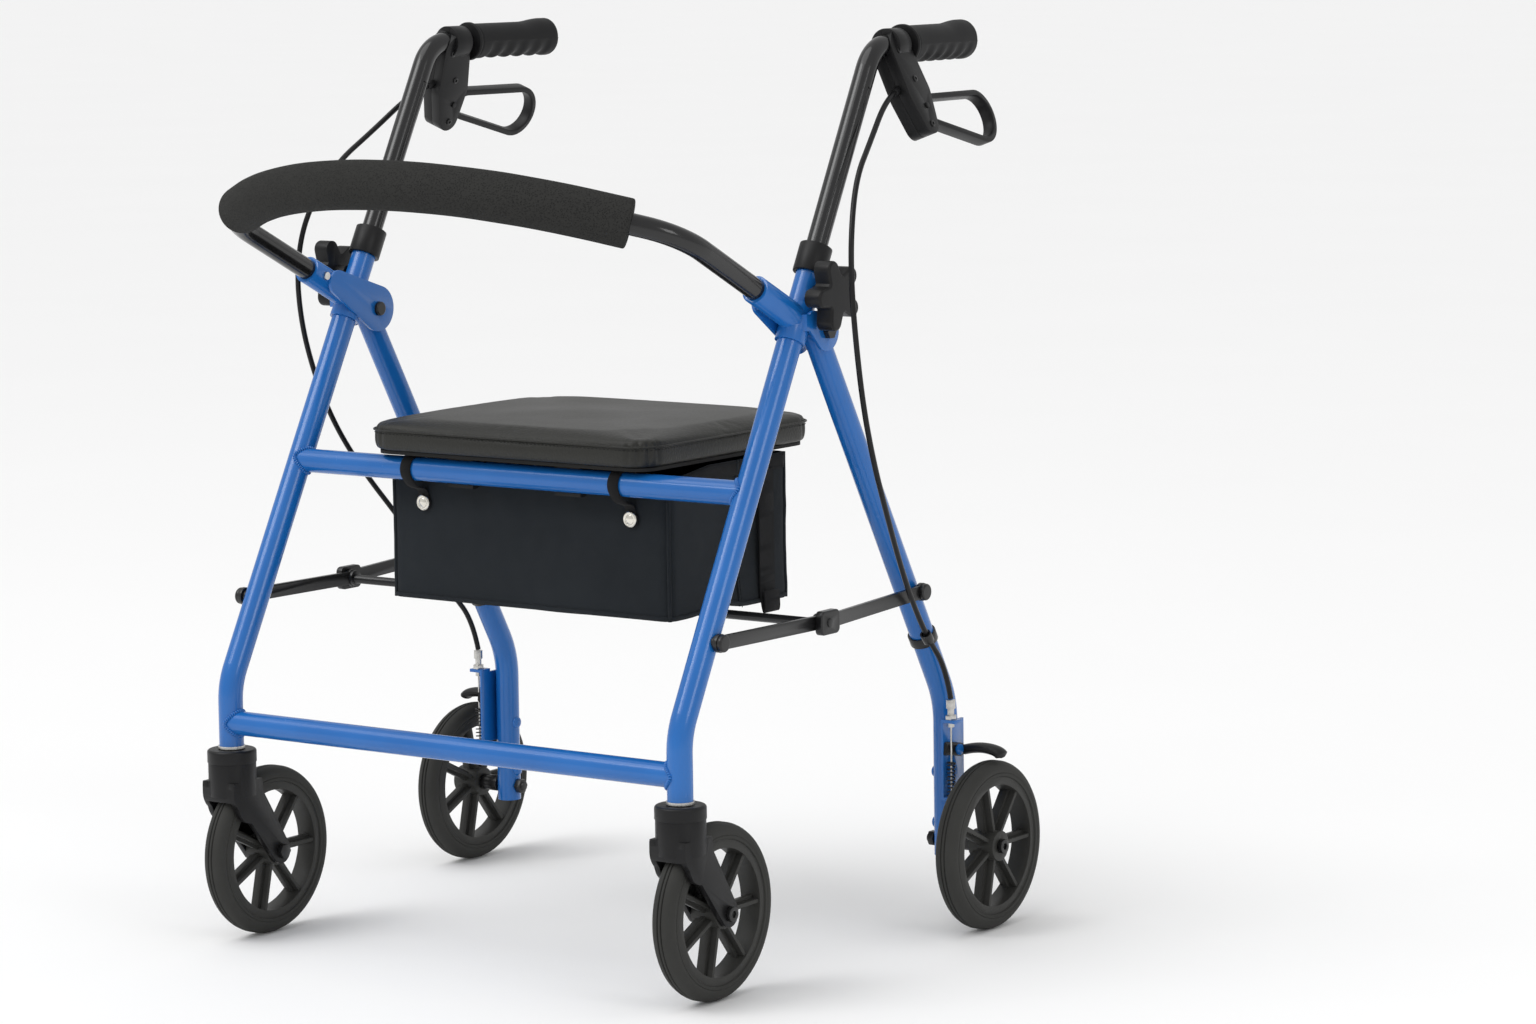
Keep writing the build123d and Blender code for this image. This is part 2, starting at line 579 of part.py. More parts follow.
def make_brake_arm():
    """Brake arm: a shoe over the tyre and a tail that the wire pulls up."""
    py, pz = ARM_PIVOT.Y, ARM_PIVOT.Z
    side = hull_of((WIRE_Y, pz + 2, 5.5), (py, pz, 7.0), (REAR_AXLE_Y + 6, pz + 3, 5.0))
    plate = plate_x(ARM_X, ARM_X + 5.0, side)
    tyre_room = rod_x(ARM_X - 5, WHEEL_X + 40, REAR_AXLE_Y, WHEEL_R, WHEEL_R + SHOE_GAP)
    shoe_face = hull_of((REAR_AXLE_Y - 4, pz, 6.0), (REAR_AXLE_Y + 16, pz - 3, 6.0), (REAR_AXLE_Y + 6, pz + 6, 6.0))
    shoe = plate_x(ARM_X + 4, WHEEL_X + 14, shoe_face) - tyre_room
    shoe -= rod_x(ARM_X + 5.0, ARM_X + 8.0, py, pz, 6.0)
    wire_room = rod_z(pz - 20, pz + 20, ADJUSTER_X, WIRE_Y, 2.6)
    bore = rod_x(ARM_X - 2, ARM_X + 5.2, py, pz, 3.0 + RUN)
    return plate + shoe - wire_room - bore


# ---------------------------------------------------------------- folding braces
F_PIVOT = front_axis(LINK_F_Z)
R_PIVOT = rear_axis(LINK_R_Z)
M_Y = HUB_Y - 12.0
M_Z = (LINK_F_Z + LINK_R_Z) / 2 - LINK_SAG
LINK_X = FRONT_LEG_FACE + 1.6
REAR_LINK_X = LINK_X + LINK_T + 0.6
EYE_R = 8.0


def bar_shape(a, b):
    """Flat bar with round eyes at both pivots, in the YZ plane."""
    return hull_of((a[0], a[1], LINK_H / 2), (b[0], b[1], LINK_H / 2)) + Pos(*a) * Circle(EYE_R) + Pos(*b) * Circle(EYE_R)


def make_link_stud():
    """Shouldered stud on the front leg that the front brace turns on."""
    boss = rod_x(FRONT_LEG_FACE - 2, LINK_X - 0.3, F_PIVOT.Y, F_PIVOT.Z, 6.0)
    leg = rod(front_axis(LINK_F_Z - 30), front_axis(LINK_F_Z + 30), TUBE_R)
    pin = rod_x(LEG_X + TUBE_R - TUBE_WALL - 2, LINK_X + LINK_T + 0.3, F_PIVOT.Y, F_PIVOT.Z, LINK_PIN_R)
    cap = rod_x(LINK_X + LINK_T + 0.3, LINK_X + LINK_T + 4.3, F_PIVOT.Y, F_PIVOT.Z, 7.5)
    cap = fillet(cap.edges().group_by(Axis.X)[-1], 1.8)
    return (boss - leg) + pin + cap


def make_front_links():
    """Front braces and the cross rod that is pulled up to fold."""
    bar = plate_x(LINK_X, LINK_X + LINK_T, bar_shape(yz(F_PIVOT), (M_Y, M_Z)))
    bar -= rod_x(LINK_X - 2, LINK_X + LINK_T + 2, F_PIVOT.Y, F_PIVOT.Z, LINK_PIN_R + RUN)
    side = bar + rod_x(LINK_X - 3, LINK_X, M_Y, M_Z, 7.0)
    rod_across = rod_x(-LINK_X, LINK_X, M_Y, M_Z - 1, CROSS_ROD_R)
    return side + mirror(side, about=Plane.YZ) + rod_across


def make_rear_link():
    """Rear brace, with the middle pivot's joint box and rivet head."""
    bar = plate_x(REAR_LINK_X, REAR_LINK_X + LINK_T, bar_shape(yz(R_PIVOT), (M_Y, M_Z)))
    bar -= rod_x(REAR_LINK_X - 2, REAR_LINK_X + LINK_T + 2, R_PIVOT.Y, R_PIVOT.Z, LINK_PIN_R + RUN)
    joint = plate_x(REAR_LINK_X, REAR_LINK_X + LINK_T + 3, Pos(M_Y + 2, M_Z) * RectangleRounded(28, 21, 5))
    joint = fillet(joint.edges().group_by(Axis.X)[-1], 1.5)
    rivet = rod_x(REAR_LINK_X + LINK_T + 3, REAR_LINK_X + LINK_T + 4.2, M_Y, M_Z, 4.0)
    return bar + joint + rivet


def make_rear_stud():
    """Stud on the rear leg that the rear brace turns on, with its spacer and cap."""
    spacer = rod_x(REAR_LEG_FACE - 2, REAR_LINK_X - 0.3, R_PIVOT.Y, R_PIVOT.Z, 5.5)
    leg = rod(rear_axis(LINK_R_Z - 30), rear_axis(LINK_R_Z + 30), TUBE_R)
    pin = rod_x(REAR_LEG_FACE - TUBE_WALL - 2, REAR_LINK_X + LINK_T + 0.3, R_PIVOT.Y, R_PIVOT.Z, LINK_PIN_R)
    cap = rod_x(REAR_LINK_X + LINK_T + 0.3, REAR_LINK_X + LINK_T + 4.3, R_PIVOT.Y, R_PIVOT.Z, 7.5)
    cap = fillet(cap.edges().group_by(Axis.X)[-1], 1.8)
    return (spacer - leg) + pin + cap


# ---------------------------------------------------------------- seat and bag
BOARD_Z = SEAT_BAR.Z + 13.4
SADDLE_MOUTH = 3.0          # the saddles wrap the bar from here round its back
STRAP_T = 1.6
STRAP_X = 116.0
STRAP_W = 17.0
BAG_FRONT = SEAT_BAR.Y + TUBE_R + 4.0
BAG_LOW = M_Z + CROSS_ROD_R + 3.0


def make_seat_board():
    """Board under the pad with two saddles that turn on the seat bar."""
    front = SEAT_BAR.Y - SEAT_FRONT + 6
    board = box_span(-SEAT_WIDTH / 2 + 6, SEAT_WIDTH / 2 - 6, front, front + SEAT_DEPTH - 12, BOARD_Z, BOARD_Z + SEAT_BOARD_T)
    board = fillet(board.edges().filter_by(Axis.Z), 18)
    for x in (-60, 60):
        saddle = rod_x(x - 14, x + 14, *yz(SEAT_BAR), TUBE_R + RUN + 3)
        board += saddle
    mouth = box_span(-90, 90, SEAT_BAR.Y - 30, SEAT_BAR.Y - SADDLE_MOUTH, SEAT_BAR.Z - 30, BOARD_Z)
    return board - mouth - rod_x(-90, 90, *yz(SEAT_BAR), TUBE_R + RUN)


def make_seat_pad():
    """Padded cushion, plain and closed."""
    low = BOARD_Z + SEAT_BOARD_T
    front = SEAT_BAR.Y - SEAT_FRONT
    pad = box_span(-SEAT_WIDTH / 2, SEAT_WIDTH / 2, front, front + SEAT_DEPTH, low, low + SEAT_PAD_T)
    pad = fillet(pad.edges().filter_by(Axis.Z), 22)
    return fillet(pad.edges().group_by(Axis.Z)[-1], 9)


def make_bag():
    """Open-topped fabric bag under the seat."""
    y0, y1 = BAG_FRONT, BAG_FRONT + BAG_DEPTH
    outer = box_span(-BAG_WIDTH / 2, BAG_WIDTH / 2, y0, y1, BAG_LOW, BAG_LOW + BAG_HEIGHT)
    outer = fillet(outer.edges().filter_by(Axis.Z), 10)
    inner = box_span(-BAG_WIDTH / 2 + BAG_WALL, BAG_WIDTH / 2 - BAG_WALL, y0 + BAG_WALL, y1 - BAG_WALL,
                     BAG_LOW + BAG_WALL, BAG_LOW + BAG_HEIGHT + 5)
    inner = fillet(inner.edges().filter_by(Axis.Z), 8)
    return outer - inner


def make_bag_strap():
    """Strap looped round the seat bar, with its tab on the bag's front."""
    ring = rod_x(STRAP_X - STRAP_W / 2, STRAP_X + STRAP_W / 2, *yz(SEAT_BAR), TUBE_R + RUN + STRAP_T)
    ring -= rod_x(STRAP_X - STRAP_W, STRAP_X + STRAP_W, *yz(SEAT_BAR), TUBE_R + RUN)
    y1 = BAG_FRONT - 0.6
    tab = box_span(STRAP_X - STRAP_W / 2, STRAP_X + STRAP_W / 2, y1 - STRAP_T - 0.8, y1, SEAT_BAR.Z - 42, SEAT_BAR.Z)
    tab -= rod_x(STRAP_X - STRAP_W, STRAP_X + STRAP_W, *yz(SEAT_BAR), TUBE_R + RUN)
    return ring + tab


def make_bag_snap():
    """Press stud on a strap's tab."""
    y1 = BAG_FRONT - 0.6 - STRAP_T - 0.8
    a = Vector(STRAP_X, y1, SEAT_BAR.Z - 32)
    return rod(a, a - Vector(0, 2.2, 0), 6.6)


# ---------------------------------------------------------------- brake cables
# The route goes from the brake housing's ferrule, bows out beside the leg and ends in the adjuster.
ferrule_tip = brake_frame.from_local_coords(Vector(0, -22.8, -44.1))
ferrule_run = brake_frame.from_local_coords(Vector(0, -41.8, -50.4))
CABLE_END = Vector(ADJUSTER_X, WIRE_Y, 210.2)
CABLE_ROUTE = [
    ferrule_tip,
    ferrule_run,
    Vector(280, 62, 717),
    Vector(292, 22, 688),
    Vector(305, -6, 644),
    Vector(311, -15, 596),
    Vector(312, -10, 544),
    Vector(309, 4, 492),
    Vector(304, 26, 442),
    Vector(296, 56, 396),
    Vector(285, 90, 352),
    Vector(277, 122, 310),
    Vector(273, 153, 271),
    Vector(ADJUSTER_X, WIRE_Y - 8, 240),
    CABLE_END,
]


def arc_radii(points):
    """The largest tangent arc at each corner that both of its runs leave room for."""
    radii = []
    for before, here, after in zip(points, points[1:], points[2:]):
        a = here - before
        b = after - here
        turn = math.radians(a.get_angle(b))
        radii.append(0.45 * min(a.length, b.length) / math.tan(turn / 2))
    return radii


def make_brake_cable():
    """Cable casing along its whole route."""
    radii = arc_radii(CABLE_ROUTE)
    print("cable arc radii", [round(r) for r in radii])
    path = FilletPolyline(*CABLE_ROUTE, radius=radii)
    casing = sweep_round(path, CABLE_R)
    print("cable length", round(path.length, 1), "volume ratio", casing.volume / (math.pi * CABLE_R**2 * path.length))
    return casing


CLIP_AT = 12                # route point that the clip holds


def make_cable_clip():
    """Plastic clip that holds the cable to the rear leg."""
    at = CABLE_ROUTE[CLIP_AT]
    along = (CABLE_ROUTE[CLIP_AT + 1] - CABLE_ROUTE[CLIP_AT - 1]).normalized()
    leg = rod(rear_axis(at.Z + 30), rear_axis(at.Z - 40), TUBE_R)
    band = rod(rear_axis(at.Z), rear_axis(at.Z - 8), TUBE_R + 1.8) - leg
    eye = rod(at - along * 5, at + along * 5, CABLE_R + 2.6)
    arm = rod(rear_axis(at.Z - 4), at, 2.4) - leg
    return band + arm + eye - rod(at - along * 12, at + along * 12, CABLE_R + 1.2)


# ---------------------------------------------------------------- assembly
def build():
    """Make every node."""
    put_pair("front_leg", make_front_leg())
    put("seat_crossbar", make_seat_crossbar())
    put("lower_crossbar", make_lower_crossbar())
    put_pair("hinge_bracket", make_hinge_bracket())
    put_both("hub_bolts", make_hub_bolt())
    put_both("handle_collars", make_handle_collar())
    put_both("stem_bushes", make_stem_bush())
    put_both("link_studs", make_link_stud())
    put("backrest_bar", make_backrest_bar())
    put("backrest_foam", make_backrest_foam())
    put_pair("backrest_button", make_backrest_button())
    put("bag", make_bag())
    put_both("bag_straps", make_bag_strap())
    put_both("bag_snaps", make_bag_snap())
    put_pair("brake_cable", make_brake_cable())
    put_pair("rear_leg", make_rear_leg())
    put_pair("rear_axle", make_rear_axle())
    put_pair("brake_bracket", make_brake_bracket())
    put_pair("cable_adjuster", make_cable_adjuster())
    clip_and_stud = Compound(children=[make_cable_clip(), make_rear_stud()])
    put_pair("leg_fittings", clip_and_stud)
    put_pair("brake_arm", make_brake_arm())
    put_pair("rear_tyre", make_tyre(WHEEL_X, REAR_AXLE_Y))
    put_pair("rear_rim", make_rim(WHEEL_X, REAR_AXLE_Y))
    put_pair("caster_fork", make_caster_fork())
    put_pair("caster_cap", make_caster_cap())
    put_pair("caster_bolts", Compound(children=[make_caster_stem(), make_caster_axle()]))
    put_pair("front_tyre", make_tyre(LEG_X, CASTER_Y))
    put_pair("front_rim", make_rim(LEG_X, CASTER_Y))
    put_pair("handle_tube", make_handle_tube())
    put_pair("grip", make_grip())
    put_pair("brake_housing", make_brake_housing())
    put_pair("brake_lever", make_brake_lever())
    put_pair("knob", make_knob())
    put("seat_board", make_seat_board())
    put("seat_pad", make_seat_pad())
    put("front_links", make_front_links())
    put_pair("rear_link", make_rear_link())


build()
os.makedirs("parts", exist_ok=True)
for node, shape in parts.items():
    export_step(shape, f"parts/{node}.step")
print(len(parts), "nodes")
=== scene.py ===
# %% [markdown]
# # A folding rollator, finished on its CAD frame
# The frame gives every hard part its place. This script adds the camera and light, paints every
# surface, rounds the hard edges and makes the tyres, grips, foam, cables, pad, bag and straps.

# %% Load the frame
import json
import math

import bmesh
import bpy
from mathutils import Matrix, Vector, noise

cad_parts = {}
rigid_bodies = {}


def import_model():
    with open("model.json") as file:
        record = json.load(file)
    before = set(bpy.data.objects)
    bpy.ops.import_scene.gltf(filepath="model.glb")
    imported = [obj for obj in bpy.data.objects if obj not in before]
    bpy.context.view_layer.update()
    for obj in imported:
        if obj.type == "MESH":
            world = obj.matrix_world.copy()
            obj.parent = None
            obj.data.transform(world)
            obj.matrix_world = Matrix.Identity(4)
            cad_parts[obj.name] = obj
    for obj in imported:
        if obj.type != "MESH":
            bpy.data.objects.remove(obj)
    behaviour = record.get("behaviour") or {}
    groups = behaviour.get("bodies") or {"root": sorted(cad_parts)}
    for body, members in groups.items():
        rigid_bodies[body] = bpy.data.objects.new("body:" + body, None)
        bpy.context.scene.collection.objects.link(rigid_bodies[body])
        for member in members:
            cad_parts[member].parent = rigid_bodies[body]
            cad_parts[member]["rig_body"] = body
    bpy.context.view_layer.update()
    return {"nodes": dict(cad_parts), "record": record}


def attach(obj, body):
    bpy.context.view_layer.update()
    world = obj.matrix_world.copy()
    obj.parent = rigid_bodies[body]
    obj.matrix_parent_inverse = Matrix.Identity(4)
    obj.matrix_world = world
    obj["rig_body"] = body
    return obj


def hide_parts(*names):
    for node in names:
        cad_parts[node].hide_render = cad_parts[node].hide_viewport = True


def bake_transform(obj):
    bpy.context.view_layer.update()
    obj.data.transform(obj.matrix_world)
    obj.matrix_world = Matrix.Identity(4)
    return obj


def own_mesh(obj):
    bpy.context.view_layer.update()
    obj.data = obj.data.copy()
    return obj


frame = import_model()

# %% [markdown]
# ## Sizes
# The same driving sizes as the CAD, in metres. Everything made here is worked out from them.

# %% Sizes
MM = 0.001
LEG_X = 0.250
REAR_LEG_X = 0.253
HUB = Vector((LEG_X, 0.0115, 0.556))
LEG_GAP = 0.025             # hinge axis to front leg axis
FRONT_BEND_Z = 0.2337       # where the front leg turns vertical
REAR_BEND_Z = 0.2048
SEAT_BAR_Z = 0.4251
LOWER_BAR_Z = 0.199
GRIP_Z = 0.797
GRIP_START = 0.051          # from the handle's corner
BRAKE_START = 0.033         # from the handle's corner
FRONT_LEAN = math.radians(28.0)
REAR_LEAN = math.radians(29.7)
TUBE_R = 0.0111
CROSSBAR_R = 0.0108
WHEEL_R = 0.0762
WHEEL_X = 0.298             # rear wheel, middle of its width
CASTER_TRAIL = 0.043
UP = Vector((0, 0, 1))
FRONT_UP = Vector((0, math.sin(FRONT_LEAN), math.cos(FRONT_LEAN)))
FRONT_SIDE = Vector((0, math.cos(FRONT_LEAN), -math.sin(FRONT_LEAN)))
LEG_BY_HUB = HUB - FRONT_SIDE * LEG_GAP
SIDES = (("right", 1), ("left", -1))


def front_axis(z):
    """Point on the right front leg's sloping axis at a height."""
    return Vector((LEG_X, LEG_BY_HUB.y + (z - LEG_BY_HUB.z) * math.tan(FRONT_LEAN), z))


SEAT_BAR = front_axis(SEAT_BAR_Z)
STEM_Y = front_axis(FRONT_BEND_Z).y
REAR_AXLE_Y = HUB.y + (HUB.z - REAR_BEND_Z) * math.tan(REAR_LEAN)
CORNER = front_axis(GRIP_Z)
TOE_IN = math.radians(4.0)
GRIP_DIR = Vector((-math.sin(TOE_IN), math.cos(TOE_IN), 0))
TILT = math.radians(20.0)
UP_HINT = Vector((-math.sin(TILT), 0, math.cos(TILT)))
BRAKE_UP = (UP_HINT - GRIP_DIR * UP_HINT.dot(GRIP_DIR)).normalized()
BRAKE_X = GRIP_DIR.cross(BRAKE_UP)
BRAKE_ORIGIN = CORNER + GRIP_DIR * BRAKE_START
print("seat bar", SEAT_BAR[:], "rear axle y", REAR_AXLE_Y)


def flip(point, side):
    """The point on the right, or its mirror image on the left."""
    return Vector((point[0] * side, point[1], point[2]))


def brake_point(x, y, z, side=1):
    """A point given in millimetres in the brake housing's own frame."""
    return flip(BRAKE_ORIGIN + (BRAKE_X * x + GRIP_DIR * y + BRAKE_UP * z) * MM, side)


# %% [markdown]
# ## Camera and light
# The camera stands in front and to the side, far back with a long lens, a little above the seat.

# %% Camera
AIM = Vector((0, 0.2985, 0.480))
CAMERA_DISTANCE = 4.3711
CAMERA_TURN = (35.4, 5.8, -0.8)    # degrees round, up and rolled


def add_camera():
    """Long lens that looks at AIM from the front right."""
    az, el, roll = (math.radians(a) for a in CAMERA_TURN)
    back = Vector((math.sin(az) * math.cos(el), -math.cos(az) * math.cos(el), math.sin(el)))
    right = Vector((math.cos(az), math.sin(az), 0))
    up = back.cross(right)
    x_axis = right * math.cos(roll) + up * math.sin(roll)
    y_axis = up * math.cos(roll) - right * math.sin(roll)
    camera = bpy.data.objects.new("camera", bpy.data.cameras.new("camera"))
    camera.data.lens = 108.44
    camera.data.sensor_width = 36
    camera.data.shift_y = -0.0896
    turn = Matrix((x_axis, y_axis, back)).transposed()
    camera.matrix_world = Matrix.Translation(AIM + back * CAMERA_DISTANCE) @ turn.to_4x4()
    bpy.context.scene.collection.objects.link(camera)
    bpy.context.scene.camera = camera
    return camera


print("camera at", add_camera().matrix_world.translation[:])


# %% Lights
def area_light(name, place, target, size, watts):
    """Square lamp that faces its target."""
    light = bpy.data.objects.new(name, bpy.data.lights.new(name, "AREA"))
    light.data.size = size
    light.data.energy = watts
    light.location = place
    light.rotation_euler = (Vector(target) - Vector(place)).to_track_quat("-Z", "Y").to_euler()
    bpy.context.scene.collection.objects.link(light)


area_light("key", (-1.6, -2.6, 3.4), (0, 0, 0.4), 1.6, 30)
area_light("side", (3.4, -1.0, 2.0), (0, 0, 0.5), 1.2, 14)
sky = bpy.data.objects.new("sky", bpy.data.lights.new("sky", "SUN"))
sky.data.energy = 1.05
sky.data.angle = math.radians(55)
sky.rotation_euler = Vector((-0.3, -0.45, 1)).to_track_quat("Z", "Y").to_euler()
bpy.context.scene.collection.objects.link(sky)
world = bpy.data.worlds.new("studio")
world.use_nodes = True
backdrop = world.node_tree.nodes["Background"]
backdrop.inputs["Color"].default_value = (1.0, 1.0, 1.0, 1)
backdrop.inputs["Strength"].default_value = 0.68
bpy.context.scene.world = world
bpy.context.scene.view_settings.view_transform = "Standard"

# %% [markdown]
# ## Small mesh tools
# A sweep, a lathe and a curve reader make nearly every added piece.


# %% Mesh tools
MERGE = 1e-6
SHARP = math.radians(45)


def mesh_object(name, verts, faces, smooth=True):
    """A new object at the origin with its place in its mesh."""
    mesh = bpy.data.meshes.new(name)
    mesh.from_pydata([tuple(v) for v in verts], [], [tuple(f) for f in faces])
    mesh.polygons.foreach_set("use_smooth", [smooth] * len(mesh.polygons))
    mesh.update()
    obj = bpy.data.objects.new(name, mesh)
    bpy.context.scene.collection.objects.link(obj)
    return obj


def ring_faces(rows, count, closed):
    """Quads between neighbouring rings of points."""
    faces = []
    for i in range(rows if closed else rows - 1):
        a, b = i * count, (i + 1) % rows * count
        for j in range(count):
            k = (j + 1) % count
            faces.append((a + j, a + k, b + k, b + j))
    return faces


def circle_section(r, steps):
    """Round section of a sweep."""
    angles = [2 * math.pi * i / steps for i in range(steps)]
    return [(r * math.cos(a), r * math.sin(a)) for a in angles]


def flat_section(width, thick, edge=0.35):
    """Flat section with soft edges: width along the second axis, thickness along the first."""
    w, t, e = width / 2, thick / 2, thick * edge
    return [(-t + e, -w), (t - e, -w), (t, -w + e), (t, w - e),
            (t - e, w), (-t + e, w), (-t, w - e), (-t, -w + e)]


def sweep(name, points, section, closed=False, normal=None):
    """Skin a section along points. section is a list, or a function of the station's number."""
    points = [Vector(p) for p in points]
    last = len(points) - 1
    verts, across = [], None
    for i, here in enumerate(points):
        before = points[i - 1] if closed or i else here
        after = points[(i + 1) % len(points)] if closed or i < last else here
        along = (after - before).normalized()
        if normal is not None:
            out = Vector(normal).cross(along).normalized()
        else:
            seed = across if across is not None else along.orthogonal()
            out = (seed - along * seed.dot(along)).normalized()
            across = out
        side = along.cross(out)
        loop = section(i) if callable(section) else section
        verts += [here + out * a + side * b for a, b in loop]
    count = len(loop)
    faces = ring_faces(len(points), count, closed)
    if not closed:
        faces.append(tuple(range(count))[::-1])
        faces.append(tuple(range(last * count, last * count + count)))
    return tidy_mesh(mesh_object(name, verts, faces))


def tidy_mesh(obj):
    """Merge doubled points and turn the faces outward."""
    bm = bmesh.new()
    bm.from_mesh(obj.data)
    bmesh.ops.remove_doubles(bm, verts=bm.verts, dist=MERGE)
    bmesh.ops.recalc_face_normals(bm, faces=bm.faces)
    bm.to_mesh(obj.data)
    bm.free()
    obj.data.set_sharp_from_angle(angle=SHARP)
    return obj


def lathe(name, profile, centre, axis, steps=48, shape=None, ring=False):
    """Turn a profile of (along, radius) about an axis; shape(along, angle) scales the radius.
    A ring's profile is a closed section, so it has no end faces."""
    axis = Vector(axis).normalized()
    up = (UP - axis * UP.dot(axis)).normalized()
    side = axis.cross(up)
    verts = []
    for along, radius in profile:
        for i in range(steps):
            angle = 2 * math.pi * i / steps
            r = radius * (shape(along, angle) if shape else 1)
            spoke = axis * along + up * r * math.cos(angle) + side * r * math.sin(angle)
            verts.append(Vector(centre) + spoke)
    faces = ring_faces(len(profile), steps, ring)
    if not ring:
        faces.append(tuple(range(steps))[::-1])
        faces.append(tuple(range((len(profile) - 1) * steps, len(profile) * steps)))
    return tidy_mesh(mesh_object(name, verts, faces))


def baked(obj):
    """Apply every modifier by taking the evaluated mesh."""
    bpy.context.view_layer.update()
    graph = bpy.context.evaluated_depsgraph_get()
    mesh = bpy.data.meshes.new_from_object(obj.evaluated_get(graph))
    obj.modifiers.clear()
    obj.data = mesh
    return obj


def joined(name, objs):
    """Several meshes made one piece."""
    verts, faces = [], []
    for o in objs:
        start = len(verts)
        verts += [v.co.copy() for v in o.data.vertices]
        faces += [[start + i for i in p.vertices] for p in o.data.polygons]
        bpy.data.objects.remove(o)
    obj = mesh_object(name, verts, faces)
    obj.data.set_sharp_from_angle(angle=SHARP)
    return obj


def smooth_line(points):
    """Points read from a smooth spline with these control points."""
    curve = bpy.data.curves.new("line", "CURVE")
    curve.dimensions = "3D"
    spline = curve.splines.new("NURBS")
    spline.points.add(len(points) - 1)
    for point, place in zip(spline.points, points):
        point.co = (*place, 1)
    spline.order_u = 3
    spline.use_endpoint_u = True
    spline.resolution_u = 10
    obj = bpy.data.objects.new("line", curve)
    bpy.context.scene.collection.objects.link(obj)
    line = bpy.data.meshes.new_from_object(obj)
    found = [v.co.copy() for v in line.vertices]
    bpy.data.objects.remove(obj)
    return found


def line_length(points):
    """Length of an open line."""
    return sum((b - a).length for a, b in zip(points, points[1:]))


print("tools ready")

# %% [markdown]
# ## Brake cables
# Each cable leaves the ferrule under the grip, bows out beside the leg and ends in the adjuster.
# It is made in two lengths that meet beside the hinge.

# %% Cable routes
CABLE_R = 0.0025
ADJUSTER_X = 272.1
WIRE_Y = REAR_AXLE_Y / MM - 20
FERRULE = [brake_point(0, -22.8, -44.1) / MM, brake_point(0, -41.8, -50.4) / MM]
ROUTE = FERRULE + [Vector(p) for p in (
    (280, 62, 717), (292, 22, 688), (305, -6, 644), (311, -15, 596), (312, -10, 544), (309, 4, 492),
    (304, 26, 442), (296, 56, 396), (285, 90, 352), (277, 122, 310), (273, 153, 271),
    (ADJUSTER_X, WIRE_Y - 8, 240), (ADJUSTER_X, WIRE_Y, 210.2))]
MEET = 6        # the two lengths meet at this point of the route
LEG_HOLDS = 12  # a point of the route near the adjuster


def make_cables(name, side):
    """Both lengths of one cable, as tubes on the spline's points, each with its line."""
    line = smooth_line([flip(p, side) * MM for p in ROUTE])
    meet_at = flip(ROUTE[MEET], side) * MM
    split = min(range(len(line)), key=lambda i: (line[i] - meet_at).length)
    made = []
    for part, run in (("upper", line[:split + 1]), ("lower", line[split:])):
        tube = sweep(f"cable_{part}_{name}", run, circle_section(CABLE_R, 14))
        line_length(run)
        made.append((tube, run))
    return made


cables = {name: make_cables(name, side) for name, side in SIDES}
print({n: [round(line_length(run), 3) for _, run in c] for n, c in cables.items()})

# %% [markdown]
# ## Materials
# `Val` wraps a shader socket so that patterns read as sums; `Paint` owns one material.


# %% Shader maths
class Val:
    """A shader value; arithmetic on it makes Math nodes."""

    def __init__(self, tree, socket):
        self.tree, self.socket = tree, socket

    def op(self, kind, other=0.0, swap=False):
        node = self.tree.nodes.new("ShaderNodeMath")
        node.operation = kind
        ins = (1, 0) if swap else (0, 1)
        self.tree.links.new(self.socket, node.inputs[ins[0]])
        if isinstance(other, Val):
            self.tree.links.new(other.socket, node.inputs[ins[1]])
        else:
            node.inputs[ins[1]].default_value = other
        return Val(self.tree, node.outputs[0])

    def __add__(self, other):
        return self.op("ADD", other)

    def __sub__(self, other):
        return self.op("SUBTRACT", other)

    def __rsub__(self, other):
        return self.op("SUBTRACT", other, swap=True)

    def __mul__(self, other):
        return self.op("MULTIPLY", other)

    def sin(self):
        return self.op("SINE")

    def abs(self):
        return self.op("ABSOLUTE")

    def above(self, level):
        return self.op("GREATER_THAN", level)

    __radd__ = __add__
    __rmul__ = __mul__


